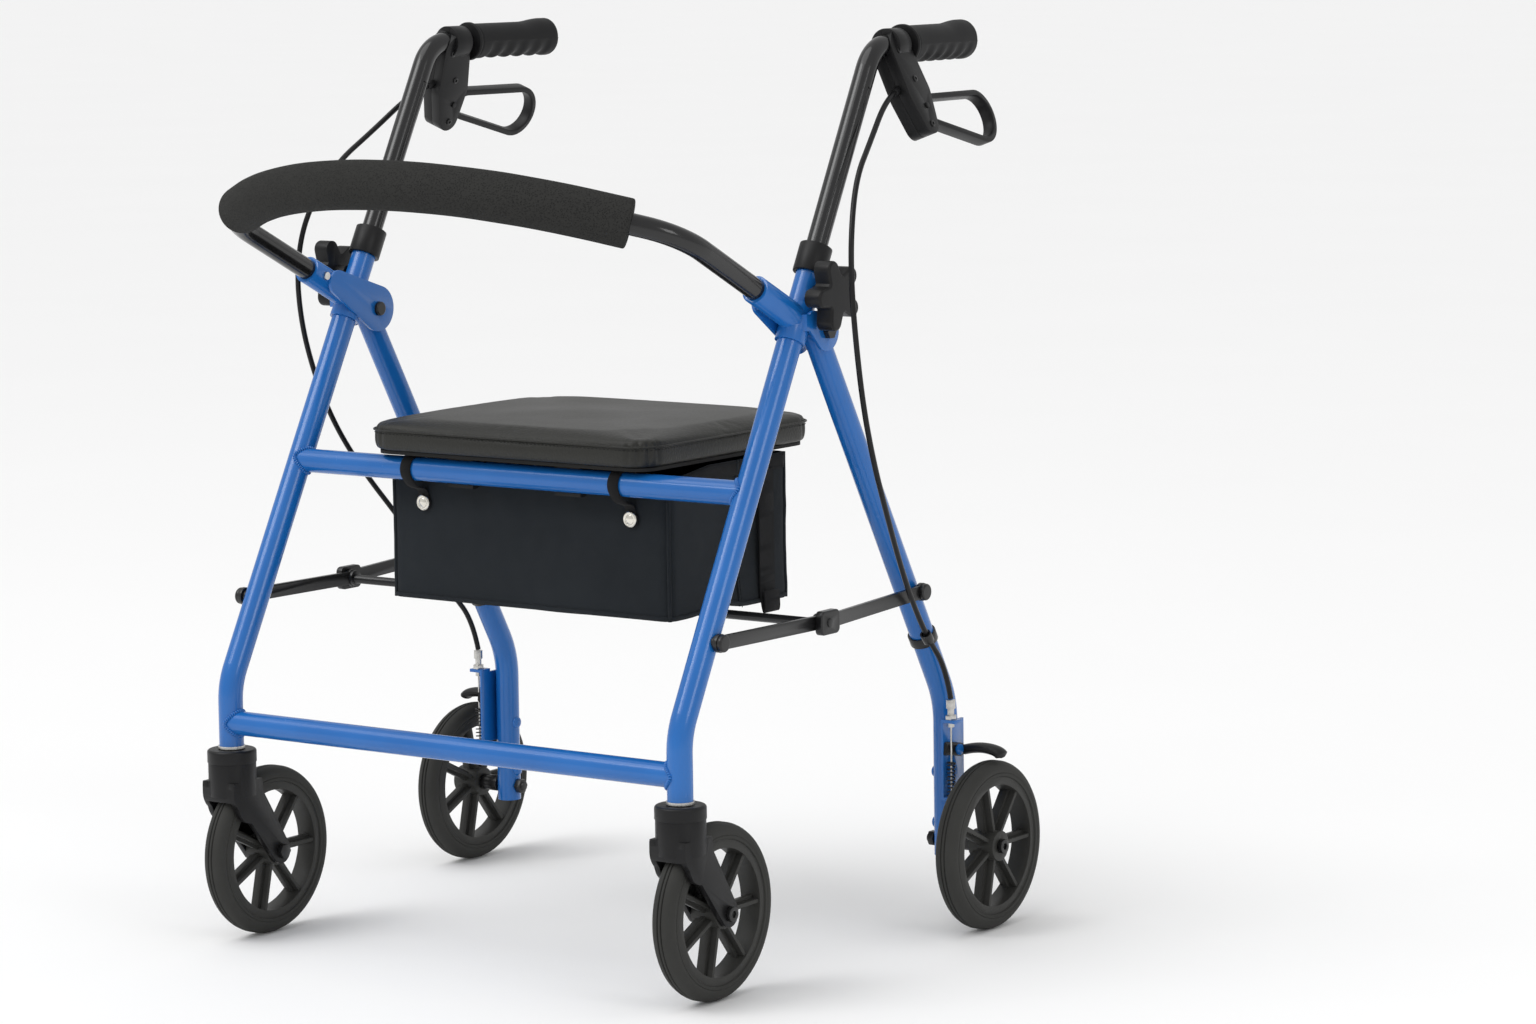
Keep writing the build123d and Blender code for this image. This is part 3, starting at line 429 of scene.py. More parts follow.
class Paint:
    """One procedural material on a Principled shader."""

    def __init__(self, name, metallic=0.0, coat=0.0, coat_rough=0.1, specular=0.5, sheen=0.0):
        self.mat = bpy.data.materials.new(name)
        self.mat.use_nodes = True
        self.tree = self.mat.node_tree
        self.shader = self.tree.nodes["Principled BSDF"]
        settings = {"Metallic": metallic, "Coat Weight": coat, "Coat Roughness": coat_rough,
                    "Specular IOR Level": specular, "Sheen Weight": sheen}
        for key, value in settings.items():
            self.shader.inputs[key].default_value = value
        coords = self.tree.nodes.new("ShaderNodeTexCoord")
        self.place = coords.outputs["Object"]
        split = self.tree.nodes.new("ShaderNodeSeparateXYZ")
        self.tree.links.new(self.place, split.inputs[0])
        self.x, self.y, self.z = (Val(self.tree, s) for s in split.outputs)

    def texture(self, kind, scale, stretch=None, **settings):
        """Texture node on the object's own coordinates, stretched if asked."""
        node = self.tree.nodes.new(kind)
        source = self.place
        if stretch:
            mapping = self.tree.nodes.new("ShaderNodeMapping")
            mapping.inputs["Scale"].default_value = stretch
            self.tree.links.new(source, mapping.inputs["Vector"])
            source = mapping.outputs[0]
        self.tree.links.new(source, node.inputs["Vector"])
        node.inputs["Scale"].default_value = scale
        for key, value in settings.items():
            node.inputs[key].default_value = value
        return node

    def noise(self, scale, detail=3.0, stretch=None, rough=0.5):
        node = self.texture("ShaderNodeTexNoise", scale, stretch, Detail=detail, Roughness=rough)
        return Val(self.tree, node.outputs["Fac"])

    def cells(self, scale):
        return Val(self.tree, self.texture("ShaderNodeTexVoronoi", scale).outputs["Distance"])

    def ramp(self, value, low, high):
        """The value's low and high ends stretched to 0 and 1."""
        node = self.tree.nodes.new("ShaderNodeMapRange")
        self.tree.links.new(value.socket, node.inputs["Value"])
        node.inputs["From Min"].default_value = low
        node.inputs["From Max"].default_value = high
        return Val(self.tree, node.outputs[0])

    def colour(self, first, second, amount):
        """Base colour between two colours."""
        node = self.tree.nodes.new("ShaderNodeMix")
        node.data_type = "RGBA"
        self.tree.links.new(amount.socket, node.inputs[0])
        node.inputs[6].default_value = (*first, 1)
        node.inputs[7].default_value = (*second, 1)
        self.tree.links.new(node.outputs[2], self.shader.inputs["Base Color"])
        return self

    def roughness(self, value):
        self.tree.links.new(value.socket, self.shader.inputs["Roughness"])
        return self

    def bump(self, height, strength, distance):
        """Surface relief; distance is the height of a full step, in metres."""
        node = self.tree.nodes.new("ShaderNodeBump")
        node.inputs["Strength"].default_value = strength
        node.inputs["Distance"].default_value = distance
        self.tree.links.new(height.socket, node.inputs["Height"])
        self.tree.links.new(node.outputs[0], self.shader.inputs["Normal"])
        return self


print("shader tools ready")


# %% Hard finishes
def paint_powder(name, light, dark, rough, coat=0.3):
    """Gloss powder coat: a faint orange peel and a little drift in the colour."""
    p = Paint(name, coat=coat, coat_rough=0.08, specular=0.4)
    drift = p.noise(14, 4)
    peel = p.noise(900, 2)
    scuff = p.ramp(p.noise(55, 8, rough=0.7), 0.62, 0.8)
    p.colour(dark, light, p.ramp(drift, 0.3, 0.7))
    p.roughness(rough + p.ramp(drift, 0.3, 0.7) * 0.06 + scuff * 0.12)
    return p.bump(peel, 0.25, 0.0002).mat


def paint_metal(name, colour, rough):
    """Zinc plate with fine lines from tumbling."""
    p = Paint(name, metallic=1.0)
    lines = p.noise(60, 4, stretch=(1, 12, 12))
    blotch = p.noise(90, 3)
    dull = tuple(c * 0.72 for c in colour)
    p.colour(dull, colour, p.ramp(blotch, 0.3, 0.65))
    p.roughness(rough + lines * 0.18)
    return p.bump(lines, 0.2, 0.0001).mat


def paint_moulded(name, colour, rough, grain=1400, depth=0.00012, gloss=0.25):
    """Moulded plastic or rubber with a spark-eroded grain."""
    p = Paint(name, specular=gloss)
    fine = p.noise(grain, 3, rough=0.6)
    flow = p.noise(24, 3)
    lift = tuple(c * 1.5 + 0.002 for c in colour)
    p.colour(colour, lift, p.ramp(flow, 0.35, 0.75) * 0.6 + fine * 0.3)
    p.roughness(rough + p.ramp(flow, 0.3, 0.7) * 0.1)
    return p.bump(fine, 0.5, depth).mat


mats = {
    "frame_blue": paint_powder("frame_blue", (0.009, 0.135, 0.455), (0.007, 0.118, 0.41), 0.2),
    "black_tube": paint_powder("black_tube", (0.008, 0.008, 0.0085), (0.005, 0.005, 0.0055), 0.16),
    "black_steel": paint_powder("black_steel", (0.01, 0.01, 0.0105), (0.006, 0.006, 0.0065),
                                0.3, coat=0.1),
    "zinc_steel": paint_metal("zinc_steel", (0.66, 0.65, 0.62), 0.2),
    "snap_metal": paint_metal("snap_metal", (0.83, 0.8, 0.72), 0.12),
    "black_plastic": paint_moulded("black_plastic", (0.006, 0.006, 0.0065), 0.36),
    "wheel_plastic": paint_moulded("wheel_plastic", (0.027, 0.027, 0.025), 0.42),
    "tyre": paint_moulded("tyre", (0.028, 0.028, 0.026), 0.6, 700, 0.0003, gloss=0.22),
    "grip_rubber": paint_moulded("grip_rubber", (0.005, 0.005, 0.0055), 0.48, 1000, 0.0002),
    "cable_casing": paint_moulded("cable_casing", (0.005, 0.005, 0.0055), 0.24, 600, 0.00005),
}
print(sorted(mats))


# %% Soft finishes
def paint_foam():
    """Closed-cell foam: matt, with small open pore pits that are painted darker, as painted shade.
    """
    p = Paint("foam", specular=0.12)
    pore_pits_and_shade = p.ramp(p.cells(620), 0.05, 0.5)
    lumps = p.noise(70, 4)
    # Painted shade: the colour is darker in the pore pits, where the bump is lowest; the lumps add
    # tone.
    p.colour((0.012, 0.012, 0.012), (0.036, 0.036, 0.034), pore_pits_and_shade * 0.6 + lumps * 0.35)
    p.roughness(0.85 + lumps * 0.1)
    return p.bump(pore_pits_and_shade + lumps * 0.8, 0.8, 0.0006).mat


def paint_vinyl():
    """Padded vinyl: pebbled leather grain, its raised tops painted lighter and its hollows darker,
    as painted highlight and shade.
    """
    p = Paint("seat_vinyl", specular=0.35, coat=0.06, coat_rough=0.3)
    pebble_relief_and_shade = p.ramp(p.cells(420), 0.0, 0.6)
    fine = p.noise(1500, 3)
    wear = p.noise(9, 4)
    # Random mottle plus painted shade and highlight: the grain's hollows are darker and its raised
    # tops lighter.
    mottle_and_grain_shade = p.ramp(wear, 0.3, 0.75) * 0.7 + pebble_relief_and_shade * 0.2
    p.colour((0.008, 0.008, 0.0065), (0.02, 0.02, 0.0155), mottle_and_grain_shade)
    p.roughness(0.36 + p.ramp(wear, 0.3, 0.7) * 0.1 + pebble_relief_and_shade * 0.06)
    return p.bump(pebble_relief_and_shade + fine * 0.3, 0.55, 0.00035).mat


def paint_weave(name, dark, light, pitch, depth):
    """Plain weave: two crossed sets of threads that go over and under each other, with the dips
    between threads painted darker as painted shade.
    """
    p = Paint(name, specular=0.15, sheen=0.04)
    turn = 2 * math.pi / pitch
    warp = ((p.x + p.y) * turn).sin()
    weft = (p.z * turn).sin()
    over = (warp * weft).above(0.0)
    height = warp.abs() * over + weft.abs() * (1 - over)
    fuzz = p.noise(260, 4, rough=0.7)
    fade = p.noise(11, 4)
    # Painted shade: the threads' tops are lighter and the dips between them darker; the fuzz and the
    # fade vary the tone.
    p.colour(dark, light, height * 0.35 + fuzz * 0.35 + p.ramp(fade, 0.35, 0.75) * 0.3)
    p.roughness(0.75 + fuzz * 0.15)
    return p.bump(height + fuzz * 0.4, 0.6, depth).mat


def paint_board():
    """Dark stained plywood with a long grain."""
    p = Paint("seat_board", specular=0.3)
    grain = p.noise(30, 6, stretch=(1, 14, 14))
    p.colour((0.006, 0.006, 0.006), (0.014, 0.013, 0.012), p.ramp(grain, 0.3, 0.7))
    p.roughness(0.6 + grain * 0.2)
    return p.bump(grain, 0.4, 0.0004).mat


mats["foam"] = paint_foam()
mats["seat_vinyl"] = paint_vinyl()
mats["bag_cloth"] = paint_weave("bag_cloth", (0.007, 0.009, 0.0115), (0.024, 0.029, 0.034),
                                pitch=0.0011, depth=0.0003)
mats["webbing"] = paint_weave("webbing", (0.004, 0.004, 0.0045), (0.016, 0.016, 0.017),
                              pitch=0.0019, depth=0.0006)
mats["seat_board"] = paint_board()
slot_of = {s["node"]: s["material_slot"] for s in frame["record"]["subparts"]}
for node, obj in frame["nodes"].items():
    obj.data.materials.clear()
    obj.data.materials.append(mats[slot_of[node]])
print(len(mats), "materials on", len(slot_of), "nodes")


def finish(obj, slot, body=None, nodes=()):
    """Paint a piece, put it on its body and let it stand for its CAD nodes."""
    obj.data.materials.clear()
    obj.data.materials.append(mats[slot])
    if body:
        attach(obj, body)
    if nodes:
        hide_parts(*nodes)
    return obj


# %% Cables in place
for name, side in SIDES:
    (upper, up_run), (lower, low_run) = cables[name]
    finish(upper, "cable_casing", None, [f"brake_cable_{name}"])
    finish(lower, "cable_casing", None, [f"brake_cable_{name}"])
    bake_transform(upper)
    flip(ROUTE[LEG_HOLDS], side) * MM
    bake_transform(lower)

# %% [markdown]
# ## Rounded edges on the hard parts
# Each moulded or pressed CAD part gets a small bevel on its sharp edges, so that they catch light.


# %% Bevelled parts
FLAT = math.radians(0.6)        # facets that meet below this angle become one face
BEVEL_FROM = math.radians(38)   # edges sharper than this are rounded
BEVEL_STEPS = 2


def soften(node, width):
    """A copy of a CAD part with merged flats and bevelled edges."""
    source = frame["nodes"][node].data
    places = [v.co for v in source.vertices]
    obj = mesh_object(node + "_skin", places, [p.vertices for p in source.polygons])
    bm = bmesh.new()
    bm.from_mesh(obj.data)
    bmesh.ops.remove_doubles(bm, verts=bm.verts, dist=2 * MERGE)
    bmesh.ops.dissolve_limit(bm, angle_limit=FLAT, verts=bm.verts, edges=bm.edges)
    bm.to_mesh(obj.data)
    bm.free()
    bevel = obj.modifiers.new("bevel", "BEVEL")
    bevel.width = width
    bevel.segments = BEVEL_STEPS
    bevel.limit_method = "ANGLE"
    bevel.angle_limit = BEVEL_FROM
    baked(obj)
    obj.data.polygons.foreach_set("use_smooth", [True] * len(obj.data.polygons))
    obj.data.set_sharp_from_angle(angle=math.radians(32))
    body = frame["nodes"][node]["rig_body"]
    return finish(obj, slot_of[node], body, [node])


SIDED_BEVELS = {"brake_lever": 0.0013, "brake_housing": 0.0008, "knob": 0.0012, "caster_fork": 0.001,
                "brake_bracket": 0.0005, "hinge_bracket": 0.0006, "rear_rim": 0.0006,
                "front_rim": 0.0006, "rear_link": 0.0005, "caster_cap": 0.0006,
                "caster_bolts": 0.0004, "rear_axle": 0.0004, "cable_adjuster": 0.0003,
                "leg_fittings": 0.0004}
BEVELS = {"front_links": 0.0005, "handle_collars": 0.0006, "link_studs": 0.0004}
for part, width in SIDED_BEVELS.items():
    for name, _ in SIDES:
        soften(f"{part}_{name}", width)
for part, width in BEVELS.items():
    soften(part, width)
print("bevelled", len(SIDED_BEVELS) * 2 + len(BEVELS), "parts")

# %% [markdown]
# ## Tyres
# A turned section with two rounded grooves, a shoulder line and a bead beside the rim.

# %% Tyres
HALF = 0.011    # half of the tyre's width


def tyre_profile():
    """Section points (along, radius) from one side of the rim round to the other."""
    side = [(-HALF + 0.001, 0.0619), (-HALF, 0.0628), (-HALF, 0.0652), (-HALF + 0.0005, 0.0656),
            (-HALF + 0.0001, 0.0662), (-HALF + 0.0002, 0.0690), (-HALF + 0.0014, 0.0722),
            (-HALF + 0.0034, 0.0744), (-HALF + 0.0058, 0.0756)]
    tread = [(-0.0028, WHEEL_R), (-0.0024, 0.0759), (-0.0021, 0.0749), (-0.0014, 0.0749),
             (-0.0011, 0.0759), (-0.0007, WHEEL_R)]
    half = side + tread
    return half + [(-a, r) for a, r in reversed(half)]


for name, side in SIDES:
    for wheel, x, y in (("rear", WHEEL_X, REAR_AXLE_Y), ("front", LEG_X, STEM_Y + CASTER_TRAIL)):
        hub = (side * x, y, WHEEL_R)
        tyre = lathe(f"tyre_{wheel}_{name}", tyre_profile(), hub, (1, 0, 0), steps=128, ring=True)
        finish(tyre, "tyre", f"{wheel}_wheel_{name}", [f"{wheel}_tyre_{name}"])
print("four tyres")

# %% [markdown]
# ## Grips
# Five finger grooves beneath, a palm swell on top towards the end, and the mould's parting line.

# %% Grips
GRIP_R = 0.0165
COLLAR_END = 0.006
GROOVES_FROM, GROOVES_TO, GROOVE_PITCH = 0.014, 0.104, 0.018
GROOVE_DEPTH = 0.17     # shares of the radius
SWELL = 0.16
SEAM = 0.018
FADE = 0.006


def share(value):
    """The value held between 0 and 1."""
    return min(1.0, max(0.0, value))


def grip_profile():
    """Collar, neck, body and rounded end as (along, radius)."""
    rows = [(0.0, 0.0098), (0.0, 0.0172), (0.0008, 0.018), (0.0032, 0.018), (0.004, 0.0174),
            (0.0052, 0.0156)]
    rows += [(0.0052 + 0.0013 * i, GRIP_R) for i in range(1, 80)]
    end = rows[-1][0]
    for i in range(1, 9):
        a = math.pi / 2 * i / 8
        rows.append((end + 0.0075 * math.sin(a), GRIP_R - 0.0095 * (1 - math.cos(a))))
    return rows


def grip_shape(along, angle):
    """Radius factor: grooves below, swell above, a thin line at each side."""
    if along < COLLAR_END:
        return 1.0
    below = max(0.0, -math.cos(angle)) ** 0.7
    inside = share((along - GROOVES_FROM) / FADE) * share((GROOVES_TO - along) / FADE)
    groove = 0.5 - 0.5 * math.cos(2 * math.pi * (along - GROOVES_FROM) / GROOVE_PITCH)
    lift = share((along - 0.07) / 0.03)
    swell = SWELL * lift * lift * (3 - 2 * lift) * max(0.0, math.cos(angle)) ** 1.5
    seam = SEAM * math.exp(-((abs(math.sin(angle)) - 1) / 0.0012) ** 2)
    return 1.0 - GROOVE_DEPTH * groove * below * inside + swell + seam


for name, side in SIDES:
    start = flip(CORNER + GRIP_DIR * GRIP_START, side)
    along = flip(GRIP_DIR, side)
    grip = lathe(f"grip_skin_{name}", grip_profile(), start, along, steps=96, shape=grip_shape)
    finish(grip, "grip_rubber", f"handle_{name}", [f"grip_{name}"])
print("two grips")

# %% [markdown]
# ## Backrest foam
# A round sleeve on the bar's arc, soft at its ends and a little uneven along its length.

# %% Foam sleeve
BAR_CORNER = Vector((0.250, -0.174, 0.650))
BAR_APEX = Vector((0, -0.3348, 0.722))
ARC_R = 0.335
FOAM_R = 0.0213
FOAM_FROM = 0.043       # from the bar's corner to the sleeve's end
FOAM_ENDS = (0.55, 0.80, 0.90, 0.96, 0.99, 1.0)    # shares of the radius towards an end


def bar_path():
    """Points along the bar's two straight runs and the arc between them."""
    leg = (BAR_CORNER - BAR_APEX).normalized()
    other = flip(leg, -1)
    middle = (leg + other).normalized()
    half = leg.angle(middle)
    centre = BAR_APEX + middle * (ARC_R / math.sin(half))
    tangent = BAR_APEX + leg * (ARC_R / math.tan(half))
    start = BAR_CORNER - leg * FOAM_FROM
    points = [start.lerp(tangent, i / 6) for i in range(6)]
    spoke, far_spoke = tangent - centre, flip(tangent, -1) - centre
    turn = spoke.angle(far_spoke)
    axis = spoke.cross(far_spoke).normalized()
    points += [centre + Matrix.Rotation(turn * i / 90, 3, axis) @ spoke for i in range(91)]
    return points + [flip(p, -1) for p in reversed(points[:6])]


def make_foam():
    """The sleeve, with close stations where its ends round off."""
    path = bar_path()
    dense = [path[0].lerp(path[1], t) for t in (0.0, 0.06, 0.14, 0.26, 0.42, 0.7)]
    path = dense + path[1:-1] + [flip(p, -1) for p in reversed(dense)]

    def section(i):
        from_end = min(i, len(path) - 1 - i)
        soft = FOAM_ENDS[from_end] if from_end < len(FOAM_ENDS) else 1.0
        drift = 1 + 0.012 * noise.noise(path[i] * 22)
        return circle_section(FOAM_R * soft * drift, 40)

    return sweep("foam_sleeve", path, section)


foam = finish(make_foam(), "foam", "front_frame", ["backrest_foam"])
print("foam", len(foam.data.vertices), "points")

# %% [markdown]
# ## Seat pad
# A crowned cushion: a soft-cornered slab that cloth pressure fills out, gathered at its corners.
# Further on it gets a welt with stitches beside it.

# %% Seat pad
PAD_LOW = SEAT_BAR.z + 0.0164
PAD_FRONT = SEAT_BAR.y - 0.020
PAD_W, PAD_D = 0.316, 0.258
PAD_CORNER = 0.026
PAD_PRESSURE = 0.8
PAD_SWELL = 0.0028      # furthest that pressure moves a point
VOXEL = 0.004
CLOTH_STEPS = 20
PAD_MID = Vector((0, PAD_FRONT + PAD_D / 2, PAD_LOW))


def outline(width, depth, corner, steps=10):
    """Rounded rectangle round the middle, as (x, y) going anticlockwise."""
    points = []
    for k, (sx, sy) in enumerate(((1, 1), (-1, 1), (-1, -1), (1, -1))):
        for i in range(steps + 1):
            a = math.pi / 2 * (k + i / steps)
            points.append((sx * (width / 2 - corner) + corner * math.cos(a),
                           sy * (depth / 2 - corner) + corner * math.sin(a)))
    return points


def even(points, count):
    """The closed outline again with evenly spaced points."""
    ring = [Vector(p) for p in points] + [Vector(points[0])]
    lengths = [(b - a).length for a, b in zip(ring, ring[1:])]
    total, found, i, passed = sum(lengths), [], 0, 0.0
    for k in range(count):
        want = total * k / count
        while passed + lengths[i] < want:
            passed += lengths[i]
            i += 1
        found.append(ring[i].lerp(ring[i + 1], (want - passed) / lengths[i]))
    return found


def pad_shell():
    """Bottom face, sides with a soft edge, and a top that rises to its middle."""
    rows = [(0.90, 0.0), (0.972, 0.0), (0.99, 0.0016), (0.999, 0.0055), (1.0, 0.012), (0.999, 0.018),
            (0.99, 0.0222), (0.968, 0.0249), (0.93, 0.0258)]
    rows += [(0.86 - 0.07 * i, 0.0262 + 0.0002 * i) for i in range(12)]
    ring = even(outline(PAD_W, PAD_D, PAD_CORNER), 220)
    verts = []
    for scale, z in rows:
        inset = (1 - scale) * PAD_D / 2
        for p in ring:
            x, y = p.x * (1 - 2 * inset / PAD_W), p.y * (1 - 2 * inset / PAD_D)
            verts.append(PAD_MID + Vector((x, y, z)))
    faces = ring_faces(len(rows), len(ring), False)
    faces.append(tuple(range(len(ring)))[::-1])
    faces.append(tuple(range((len(rows) - 1) * len(ring), len(rows) * len(ring))))
    return tidy_mesh(mesh_object("seat_cushion", verts, faces))


def inflate(obj, pressure, cap, floor_z):
    """Fill the closed shape by cloth pressure, with each point's move kept under a cap."""
    remesh = obj.modifiers.new("remesh", "REMESH")
    remesh.mode = "VOXEL"
    remesh.voxel_size = VOXEL
    baked(obj)
    start = [v.co.copy() for v in obj.data.vertices]
    pins = obj.vertex_groups.new(name="pins")
    pins.add([v.index for v in obj.data.vertices if v.co.z < floor_z + VOXEL], 1.0, "REPLACE")
    cloth = obj.modifiers.new("cloth", "CLOTH")
    cloth.settings.use_pressure = True
    cloth.settings.uniform_pressure_force = pressure
    cloth.settings.effector_weights.gravity = 0
    cloth.settings.vertex_group_mass = "pins"
    scene = bpy.context.scene
    for step in range(1, CLOTH_STEPS + 1):
        scene.frame_set(step)
    baked(obj)
    scene.frame_set(1)
    for v, was in zip(obj.data.vertices, start):
        move = v.co - was
        if move.length > cap:
            v.co = was + move.normalized() * cap
        v.co.z = max(v.co.z, floor_z)


def gather_corners(obj):
    """Small pleats where the cover turns round each corner, deepest at mid height."""
    corner, depth, pleats = 0.030, 0.0022, 20
    for v in obj.data.vertices:
        x, y, z = v.co - PAD_MID
        cx, cy = abs(x) - (PAD_W / 2 - corner), abs(y) - (PAD_D / 2 - corner)
        if cx <= 0 or cy <= 0:
            continue
        angle = math.atan2(cy, cx)
        reach = min(1.0, math.hypot(cx, cy) / 0.024)
        edge = math.sin(math.pi * share(z / 0.030))
        fold = (0.5 + 0.5 * math.cos(angle * pleats)) ** 2
        out = Vector((math.copysign(cx, x), math.copysign(cy, y), 0)).normalized()
        v.co -= out * depth * fold * edge * reach ** 4 * math.sin(2 * angle)


pad = pad_shell()
inflate(pad, PAD_PRESSURE, PAD_SWELL, PAD_LOW)
pad.modifiers.new("smooth", "SUBSURF").levels = 1
baked(pad)
gather_corners(pad)
for polygon in pad.data.polygons:
    polygon.use_smooth = True
finish(pad, "seat_vinyl", "seat", ["seat_pad"])
pad_top = max(v.co.z for v in pad.data.vertices)
print("pad", len(pad.data.vertices), "points, top", round(pad_top, 4))

# %% [markdown]
# ## Repeated small things
# A Geometry Nodes group resamples a line and sets a small ball at even steps along it. It makes
# the weld beads and the stitches.


# %% Beads on a line
def bead_group(name, material, step, size):
    """Node group: a line resampled by length, with scaled balls turned along it."""
    group = bpy.data.node_groups.new(name, "GeometryNodeTree")
    group.interface.new_socket("Geometry", in_out="INPUT", socket_type="NodeSocketGeometry")
    group.interface.new_socket("Geometry", in_out="OUTPUT", socket_type="NodeSocketGeometry")
    add = group.nodes.new
    given, made = add("NodeGroupInput"), add("NodeGroupOutput")
    curve, spaced = add("GeometryNodeMeshToCurve"), add("GeometryNodeResampleCurve")
    spaced.mode = "LENGTH"
    spaced.inputs["Length"].default_value = step
    tangent, turn = add("GeometryNodeInputTangent"), add("FunctionNodeAlignRotationToVector")
    turn.axis = "X"
    ball, place = add("GeometryNodeMeshIcoSphere"), add("GeometryNodeInstanceOnPoints")
    ball.inputs["Radius"].default_value = 1.0
    ball.inputs["Subdivisions"].default_value = 2
    place.inputs["Scale"].default_value = size
    real, paint = add("GeometryNodeRealizeInstances"), add("GeometryNodeSetMaterial")
    paint.inputs["Material"].default_value = material
    smooth = add("GeometryNodeSetShadeSmooth")
    link = group.links.new
    link(given.outputs[0], curve.inputs["Mesh"])
    link(curve.outputs[0], spaced.inputs["Curve"])
    link(spaced.outputs[0], place.inputs["Points"])
    link(tangent.outputs[0], turn.inputs["Vector"])
    link(turn.outputs[0], place.inputs["Rotation"])
    link(ball.outputs["Mesh"], place.inputs["Instance"])
    link(place.outputs[0], real.inputs[0])
    link(real.outputs[0], smooth.inputs[0])
    link(smooth.outputs[0], paint.inputs["Geometry"])
    link(paint.outputs[0], made.inputs[0])
    return group


def beads(name, lines, slot, body, step, size):
    """Balls of that size, (along, across, across), at even steps on closed or open lines."""
    verts, edges = [], []
    for line in lines:
        start = len(verts)
        verts += [tuple(p) for p in line]
        edges += [(start + i, start + i + 1) for i in range(len(line) - 1)]
    mesh = bpy.data.meshes.new(name)
    mesh.from_pydata(verts, edges, [])
    obj = bpy.data.objects.new(name, mesh)
    bpy.context.scene.collection.objects.link(obj)
    obj.modifiers.new("beads", "NODES").node_group = bead_group(name, mats[slot], step, size)
    baked(obj)
    return finish(obj, slot, body)


def saddle(centre, leg_dir, side):
    """Line where a crossbar meets a leg, just outside both."""
    across = Vector((0, leg_dir.z, -leg_dir.y))
    line = []
    for i in range(49):
        a = 2 * math.pi * i / 48
        spoke = Vector((0, math.cos(a), math.sin(a))) * (CROSSBAR_R + 0.0004)
        offset = spoke.dot(across)
        x = LEG_X - math.sqrt(max((TUBE_R + 0.0003) ** 2 - offset ** 2, 0))
        line.append(flip(Vector((x, centre.y + spoke.y, centre.z + spoke.z)), side))
    return line


LOWER_BAR = Vector((LEG_X, STEM_Y, LOWER_BAR_Z))
welds = [saddle(bar, leg_dir, side)
         for bar, leg_dir in ((SEAT_BAR, FRONT_UP), (LOWER_BAR, UP)) for _, side in SIDES]
beads("weld_beads", welds, "frame_blue", "front_frame", 0.0019, (0.0012, 0.0021, 0.0021))
print("four welds")

# %% Welt and stitches
def pad_line(grow, corner, height):
    """Line round the pad at a height above its underside, moved out by half of grow."""
    ring = even(outline(PAD_W + grow, PAD_D + grow, corner), 200)
    return [Vector((p.x, p.y + PAD_MID.y, PAD_LOW + height)) for p in ring]


def closed_line(line):
    """The line with its first point again at its end."""
    return line + line[:1]


welt_line = pad_line(0.001, 0.027, 0.0185)
welt = sweep("seat_welt", welt_line, circle_section(0.0009, 8), closed=True, normal=UP)
finish(welt, "seat_vinyl", "seat")
stitch_line = closed_line(pad_line(-0.0005, PAD_CORNER, 0.0158))
beads("seat_stitches", [stitch_line], "webbing", "seat", 0.0042, (0.0013, 0.0004, 0.0003))
print("welt", round(line_length(welt_line), 3), "m")

# %% [markdown]
# ## Bag
# A lofted shell: an upright front, sides that slacken between the corners, and a floor that droops
# towards the front. Piping covers its seams.

# %% Bag shell
BAG_W, BAG_D, BAG_H = 0.312, 0.178, 0.116
BAG_CLOTH_T = 0.0013
BAG_FRONT = SEAT_BAR.y + TUBE_R + 0.004
BAG_LOW = 0.312
BAG_MID_Y = BAG_FRONT + BAG_D / 2


def droop(y):
    """How far the floor hangs below its lowest support, the cross rod, at a place."""
    return 0.0068 * (1 - math.exp(-((y + 0.0005) / 0.022) ** 2))


def bag_point(p, level):
    """Point on the bag's wall: level is 0 at the floor and 1 at the rim."""
    x, y = p
    middle = math.sin(math.pi * level)
    on_side = abs(x) > BAG_W / 2 - 0.012
    on_rear = y > BAG_D / 2 - 0.012
    slack = 0.004 * middle * math.cos(math.pi * y / BAG_D) if on_side else 0.0
    rear = 0.006 * middle * math.cos(math.pi * x / BAG_W) if on_rear else 0.0
    rise = 0.008 * share((y + BAG_D / 2) / 0.06)
    z = BAG_LOW - droop(y + BAG_MID_Y) * (1 - level) + (BAG_H + rise) * level
    here = Vector((x - math.copysign(slack, x), y + BAG_MID_Y + rear, z))
    crease = noise.noise(Vector((x * 16, y * 16, z * 9))) * 0.0022 + noise.noise(here * 55) * 0.0008
    out = Vector((x / BAG_W, y / BAG_D, 0)).normalized()
    return here + out * crease * (0.35 + 0.65 * middle)


def floor_point(p, share):
    """Point on the bag's floor: share is 1 at its edge and 0 at its middle."""
    x, y = p.x * share, p.y * share
    sag = 0.0016 * (1 - share ** 2) + 0.0012 * noise.noise(Vector((x * 14, y * 14, 3)))
    here = y + BAG_MID_Y
    return Vector((x, here, BAG_LOW - droop(here) - sag * min(1.0, droop(here) / 0.004)))


bag_ring = even(outline(BAG_W, BAG_D, 0.010), 260)
LEVELS = 30
FLOOR_SHARES = (0.975, 0.93, 0.84, 0.72, 0.58, 0.42, 0.26, 0.12, 0.03)
bag_rows = [[bag_point(p, 1 - i / LEVELS) for p in bag_ring] for i in range(LEVELS + 1)]
bag_rows += [[floor_point(p, s) for p in bag_ring] for s in FLOOR_SHARES]
bag_faces = ring_faces(len(bag_rows), len(bag_ring), False)
bag_faces.append(tuple(range((len(bag_rows) - 1) * len(bag_ring), len(bag_rows) * len(bag_ring))))
bag = tidy_mesh(mesh_object("bag_shell", [p for row in bag_rows for p in row], bag_faces))
shell = bag.modifiers.new("shell", "SOLIDIFY")
shell.thickness = BAG_CLOTH_T
shell.offset = -1
baked(bag)
finish(bag, "bag_cloth", "front_frame", ["bag"])
